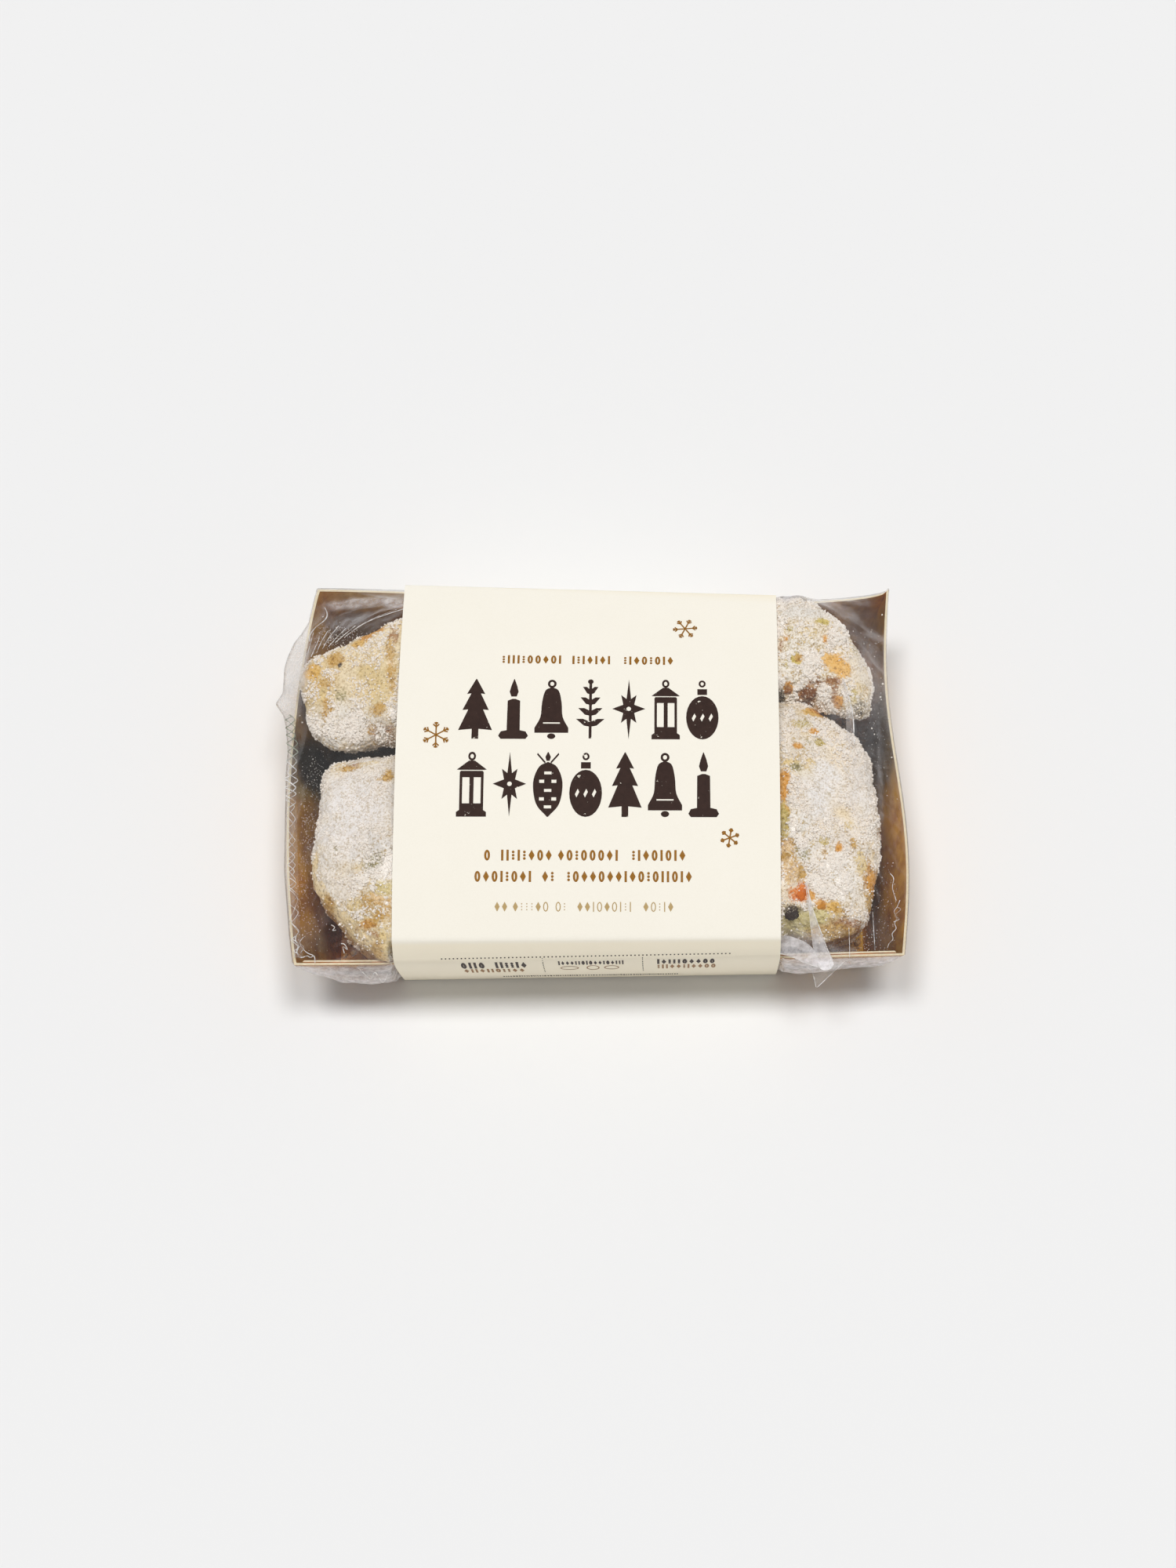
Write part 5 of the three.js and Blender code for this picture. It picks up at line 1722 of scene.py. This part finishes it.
def candle():
    body = mirrored([(0.05, 0.16), (0.21, 0.13), (0.22, -0.36), (0.42, -0.38), (0.5, -0.45), (0.42, -0.5)])
    flame = mirrored([(0.01, 0.5), (0.1, 0.38), (0.15, 0.28), (0.09, 0.2)])
    return [[body], [flame]]


def bell():
    curve = smooth_curve([(0.02, 0.36), (0.2, 0.3), (0.29, 0.1), (0.33, -0.14), (0.5, -0.32)], 4)
    body = mirrored([*curve, (0.5, -0.4), (0.03, -0.4)])
    loop = ring(0, 0.42, 0.13, 0.07, 0.06, 0.035)
    return [[body, bar(0, -0.24, 0.5, 0.022)[::-1]], loop, [ellipse(0, -0.455, 0.12, 0.045)]]


def bauble():
    holes = [bar(x, -0.14, 0.12, 0.07, math.pi / 4)[::-1] for x in (-0.26, 0.0, 0.26)]
    loop = ring(0, 0.43, 0.11, 0.06, 0.05, 0.03)
    return [[ellipse(0, -0.14, 0.5, 0.36), *holes], [bar(0, 0.29, 0.3, 0.1)], loop]


def star():
    angle = np.arange(16) / 16 * 2 * np.pi + np.pi / 2
    radius = np.where(np.arange(16) % 4 == 0, 1.0, np.where(np.arange(16) % 2 == 0, 0.66, 0.36))
    points = np.column_stack([0.5 * radius * np.cos(angle), 0.5 * radius * np.sin(angle)])
    return [[points, ellipse(0, 0, 0.07, 0.035)[::-1]]]


def cone():
    right = smooth_curve([(0.02, 0.34), (0.3, 0.26), (0.48, 0.02), (0.38, -0.3), (0.02, -0.5)], 5)
    scales = []
    for y, places in ((0.17, (0,)), (0.04, (-0.2, 0.2)), (-0.1, (0,)), (-0.23, (-0.2, 0.2)), (-0.35, (0,))):
        size = (0.16, 0.05) if len(places) == 2 else (0.24, 0.045)
        scales += [bar(x, y, *size)[::-1] for x in places]
    needle = [mirrored([(0.01, 0.5), (0.09, 0.42), (0.05, 0.36)])]
    twigs = [[bar(side * 0.22, 0.4, 0.3, 0.035, side * 0.5)] for side in (-1, 1)]
    return [[mirrored(right), *scales], needle, *twigs]


def lantern():
    body = mirrored([(0.36, 0.2), (0.4, 0.18), (0.4, -0.4), (0.5, -0.43), (0.5, -0.5), (0.02, -0.5)])
    windows = [bar(x, -0.1, 0.24, 0.4)[::-1] for x in (-0.19, 0.19)]
    roof = mirrored([(0.1, 0.36), (0.5, 0.22), (0.42, 0.215), (0.02, 0.215)])
    return [[body, *windows], [roof], ring(0, 0.43, 0.13, 0.07, 0.06, 0.035)]


def sprig():
    shapes = [[bar(0, -0.02, 0.09, 0.94)]]
    for level, y in enumerate((-0.3, -0.12, 0.06, 0.24)):
        reach = 0.46 - 0.07 * level
        for side in (-1, 1):
            leaf = np.array([(0.0, 0.0), (0.45, 0.02), (1.0, 0.13), (0.5, 0.13), (0.0, 0.08)])
            leaf = leaf * [reach * side, 1.0] + [0.0, y]
            shapes.append([leaf if side > 0 else leaf[::-1]])
    shapes.append([ellipse(0, 0.46, 0.09, 0.04)])
    return shapes


def placed(shapes, x, y, width, height):
    """Scales shapes from the unit square to their place on the sleeve."""
    return [[np.asarray(loop) * [width, height] + [x, y] for loop in outlines] for outlines in shapes]


def snowflake(x, y, radius, turn):
    """A six-armed snowflake with two pairs of barbs to an arm."""
    shapes = []
    for arm in range(6):
        angle = turn + arm * math.pi / 3
        along = np.array([math.cos(angle), math.sin(angle)])
        shapes.append([bar(*(along * radius / 2), radius, FLAKE_STROKE, angle)])
        for reach, length in ((0.62, 0.3), (0.84, 0.17)):
            for side in (-1, 1):
                lean = angle + side * math.pi / 4
                barb = np.array([math.cos(lean), math.sin(lean)]) * radius * length
                tip = along * radius * reach + barb / 2
                shapes.append([bar(*tip, radius * length, FLAKE_STROKE, lean)])
    return [[loop + [x, y] for loop in outlines] for outlines in shapes]


def ribbon(x0, x1, y, height, stroke, seed):
    """A run of small rings, bars, lozenges and dots from x0 to x1."""
    rng = np.random.default_rng(seed)
    shapes = []
    x = x0
    while x < x1 - 0.5 * height:
        kind = rng.integers(4)
        width = (0.55, 0.25, 0.55, 0.3)[kind] * height
        middle = x + width / 2
        if kind == 0:
            rx, ry = width / 2, height / 2
            shapes.append(ring(middle, y, rx, ry, rx - stroke, ry - stroke, 14))
        elif kind == 1:
            shapes.append([bar(middle, y, stroke, height)])
        elif kind == 2:
            lozenge = np.array([(0, -0.5), (0.5, 0), (0, 0.5), (-0.5, 0)]) * [width, height] + [middle, y]
            shapes.append([lozenge])
        else:
            dot = stroke * 0.6
            shapes += [[ellipse(middle, y + side * height * 0.3, dot, dot, 10)] for side in (-1, 0, 1)]
        x += width + 0.24 * height
    return shapes


# The top's two rows of figures, each with its width.
TOP_ROW = ((fir, 9.8), (candle, 8.6), (bell, 9.8), (sprig, 9.0), (star, 9.6), (lantern, 8.2), (bauble, 9.4))
LOW_ROW = ((lantern, 8.6), (star, 9.6), (cone, 8.8), (bauble, 9.4), (fir, 9.6), (bell, 9.8), (candle, 8.8))
ROW_WIDTH = 75.4
# Ribbons on the top: x0, x1, y, height and stroke.
GOLD_RUNS = (
    (-25.4, -7.0, 29.9, 2.9, 0.62), (-4.9, 8.2, 29.8, 2.9, 0.62), (10.2, 26.6, 29.7, 2.9, 0.62),
    (-29.3, -26.4, -31.3, 3.1, 0.66), (-24.5, -10.0, -31.3, 3.1, 0.66), (-8.2, 11.2, -31.3, 3.1, 0.66),
    (12.9, 28.6, -31.3, 3.1, 0.66),
    (-32.0, -14.6, -37.3, 3.1, 0.66), (-12.7, -7.3, -37.3, 3.1, 0.66), (-5.6, 31.2, -37.3, 3.1, 0.66),
)
PALE_ENDS = ((-26.2, -22.6), (-21.0, -10.2), (-8.8, -4.0), (-2.6, 14.8), (16.2, 25.4))
PALE_RUNS = tuple((*ends, -45.7, 2.7, 0.3) for ends in PALE_ENDS)
# Snowflakes: x, y, radius and turn.
FLAKES = ((28.2, 41.3, 3.6, 0.1), (-43.9, 4.7, 4.1, math.pi / 2), (40.9, -26.2, 2.8, 0.35))

# The front panel's print: x0, x1, height, stroke, y below the fold and how far it is drawn out.
FRONT_DARK_RUNS = (
    (-36.5, -28.4, 2.9, 0.75, -14.9, 3.1), (-26.6, -17.3, 2.9, 0.75, -14.9, 3.1),
    (-8.4, 11.1, 1.7, 0.45, -12.8, 3.2), (20.1, 37.8, 2.5, 0.65, -12.8, 2.6),
    (-25.7, 26.6, 1.1, 0.28, -38.4, 2.6),
)
FRONT_GOLD_RUNS = ((-36.2, -17.3, 2.6, 0.6, -24.2, 2.8), (20.1, 37.8, 2.4, 0.55, -21.0, 3.2))
# Rings on the front panel: x and half sizes.
FRONT_RINGS = ((-5.4, 2.7, 3.6), (1.4, 1.9, 4.4), (6.8, 2.2, 3.8))
DOT_STEP = 1.13


def row_of_shapes(row, y):
    """Figures side by side, evenly spaced."""
    gap = (ROW_WIDTH - sum(width for _, width in row)) / (len(row) - 1)
    shapes = []
    x = -ROW_WIDTH / 2 + 0.15
    for shape, width in row:
        shapes += placed(shape(), x + width / 2, y, width, ROW_HEIGHT)
        x += width + gap
    return shapes


def drawn_out(runs, seed):
    """Ribbons on the front panel, which is seen so steeply that its print is tall."""
    shapes = []
    for i, (x0, x1, height, stroke, y, stretch) in enumerate(runs):
        shapes += placed(ribbon(x0, x1, 0.0, height, stroke, seed + i), 0.0, y, 1.0, stretch)
    return shapes


def ribbons(runs, seed):
    """Several ribbons, each with a seed of its own."""
    return [shape for i, run in enumerate(runs) for shape in ribbon(*run, seed + i)]


def make_front_print(brown, gold_ink):
    """The front panel's print: ribbons, a dotted line, short rules and three rings."""
    dark = drawn_out(FRONT_DARK_RUNS, 60)
    dark += [[bar(x, 0.0155 * x - 7.1, 0.4, 0.5)] for x in np.arange(-41.6, 42, DOT_STEP)]
    dark += [[bar(x, y, 0.24, 1.9)] for x in (-12.8, 15.9) for y in np.arange(-8.8, -30, -3.2)]
    add_print("print_front_dark", dark, on_front, brown)
    gold = drawn_out(FRONT_GOLD_RUNS, 70)
    gold += [ring(x, -21.2, rx, ry, rx - 0.35, ry - 0.9, 20) for x, rx, ry in FRONT_RINGS]
    add_print("print_front_gold", gold, on_front, gold_ink)


def make_print(brown, gold_ink, pale_ink):
    """The sleeve's print, on the front panel and on the top."""
    make_front_print(brown, gold_ink)
    rows = row_of_shapes(TOP_ROW, 13.3) + row_of_shapes(LOW_ROW, -10.4)
    add_print("print_shapes", rows, on_top, brown)
    add_print("print_gold_lines", ribbons(GOLD_RUNS, 20), on_top, gold_ink)
    add_print("print_pale_line", ribbons(PALE_RUNS, 40), on_top, pale_ink)
    flakes = [shape for flake in FLAKES for shape in snowflake(*flake)]
    add_print("print_snowflakes", flakes, on_top, gold_ink)


# ---------------------------------------------------------------- camera, light and floor

PHOTO_SIZE = (1500, 2000)
FOCAL_LENGTH_PIXELS = 3800
OPTICAL_CENTRE_X_PIXELS = 860
CAMERA_ELEVATION = 68
CAMERA_DISTANCE = 892
CAMERA_TARGET = (25, 3, 20)
SENSOR_WIDTH = 36
# In metres.
FLOOR_HALF = 3.0


def make_camera():
    """The camera, steeply above and in front, with its optical centre beside the picture's middle."""
    camera = bpy.data.cameras.new("camera")
    camera.sensor_width = SENSOR_WIDTH
    camera.lens = FOCAL_LENGTH_PIXELS / max(PHOTO_SIZE) * SENSOR_WIDTH
    camera.shift_x = (PHOTO_SIZE[0] / 2 - OPTICAL_CENTRE_X_PIXELS) / max(PHOTO_SIZE)
    camera.clip_start, camera.clip_end = 0.05, 20
    holder = bpy.data.objects.new("camera", camera)
    tilt = math.radians(CAMERA_ELEVATION)
    back = Vector((0, -math.cos(tilt), math.sin(tilt)))
    holder.location = (Vector(CAMERA_TARGET) + back * CAMERA_DISTANCE) * MM
    holder.rotation_euler = (math.pi / 2 - tilt, 0, 0)
    bpy.context.scene.collection.objects.link(holder)
    bpy.context.scene.camera = holder


def make_sun(name, strength, azimuth, elevation, spread):
    """A soft sun from an azimuth (0 is the front, 180 the back); mirrors see the room instead."""
    light = bpy.data.lights.new(name, "SUN")
    light.energy = strength
    light.angle = math.radians(spread)
    holder = bpy.data.objects.new(name, light)
    a, e = math.radians(azimuth), math.radians(elevation)
    way = Vector((math.sin(a) * math.cos(e), -math.cos(a) * math.cos(e), math.sin(e)))
    holder.rotation_mode = "QUATERNION"
    holder.rotation_quaternion = way.to_track_quat("Z", "Y")
    holder.visible_glossy = False
    bpy.context.scene.collection.objects.link(holder)


def make_world(level, from_back, low_front, front_tint, in_mirrors, lamp_in_mirrors):
    """A white room: `level` all round, brighter behind, with a low tinted band in front.

    Mirrors see a pale room with a lamp overhead on top of that.
    """
    world = bpy.data.worlds.new("studio")
    world.use_nodes = True
    made = Nodes(world.node_tree, "Generated")
    axes = made.add("SeparateXYZ", {"Vector": made.place}).outputs
    room = made.spread(axes["Y"], -0.6, 0.7, level, level + from_back)
    low = made.spread(axes["Z"], 0.32, 0.0, 0.0, low_front)
    band = made.math("MULTIPLY", low, made.spread(axes["Y"], 0.2, -0.7, 0.0, 1.0))
    lamp = made.spread(axes["Z"], 0.96, 0.998, in_mirrors, in_mirrors + lamp_in_mirrors)
    mirrored_room = made.math("MULTIPLY", made.add("LightPath").outputs["Is Glossy Ray"], lamp)
    parts = ((room, (1.0, 1.0, 1.0)), (band, front_tint), (mirrored_room, (0.8, 0.8, 0.8)))
    shader = None
    for strength, tint in parts:
        light = made.add("Background", {"Color": tint, "Strength": strength}).outputs[0]
        shader = made.add("AddShader", {0: shader, 1: light}).outputs[0] if shader else light
    made.add("OutputWorld", {"Surface": shader})
    bpy.context.scene.world = world


def make_floor(material):
    """A wide square floor."""
    corners = [(FLOOR_HALF * x, FLOOR_HALF * y, 0) for x, y in ((-1, -1), (1, -1), (1, 1), (-1, 1))]
    mesh = bpy.data.meshes.new("floor")
    mesh.from_pydata(corners, [], [(0, 1, 2, 3)])
    mesh.materials.append(material)
    floor = bpy.data.objects.new("floor", mesh)
    bpy.context.scene.collection.objects.link(floor)


make_camera()
bpy.context.scene.view_settings.view_transform = "Standard"
make_world(
    level=0.19, from_back=0.16, low_front=1.42, front_tint=(1.0, 0.98, 0.95),
    in_mirrors=0.35, lamp_in_mirrors=4.0,
)
for side, azimuth in (("left", -110), ("right", 110)):
    make_sun(f"{side}_lamp", strength=1.2, azimuth=azimuth, elevation=79, spread=15)
make_floor(floor_finish())

gold = gold_card_finish()
cut_edge = cut_edge_finish()
make_tray(gold, cut_edge)
make_sleeve(sleeve_card_finish(), cut_edge)
bites = make_bites(bite_finish())
trees = surface_trees(bites)
fruit = make_fruit(trees, fruit_finish())
make_grains(bites, trees, sugar_grain_finish())
make_crumbs(crumb_finish())
film, film_edges_and_highlights = film_finish(), film_edge_and_highlight_finish()
make_film(bites, fruit, film)
make_film_edges(film_edges_and_highlights)
make_film_flaps(film, film_edges_and_highlights)
make_print(brown_ink_finish(), ink_finish("gold_ink", "8e5e08"), ink_finish("pale_ink", "b59a68"))
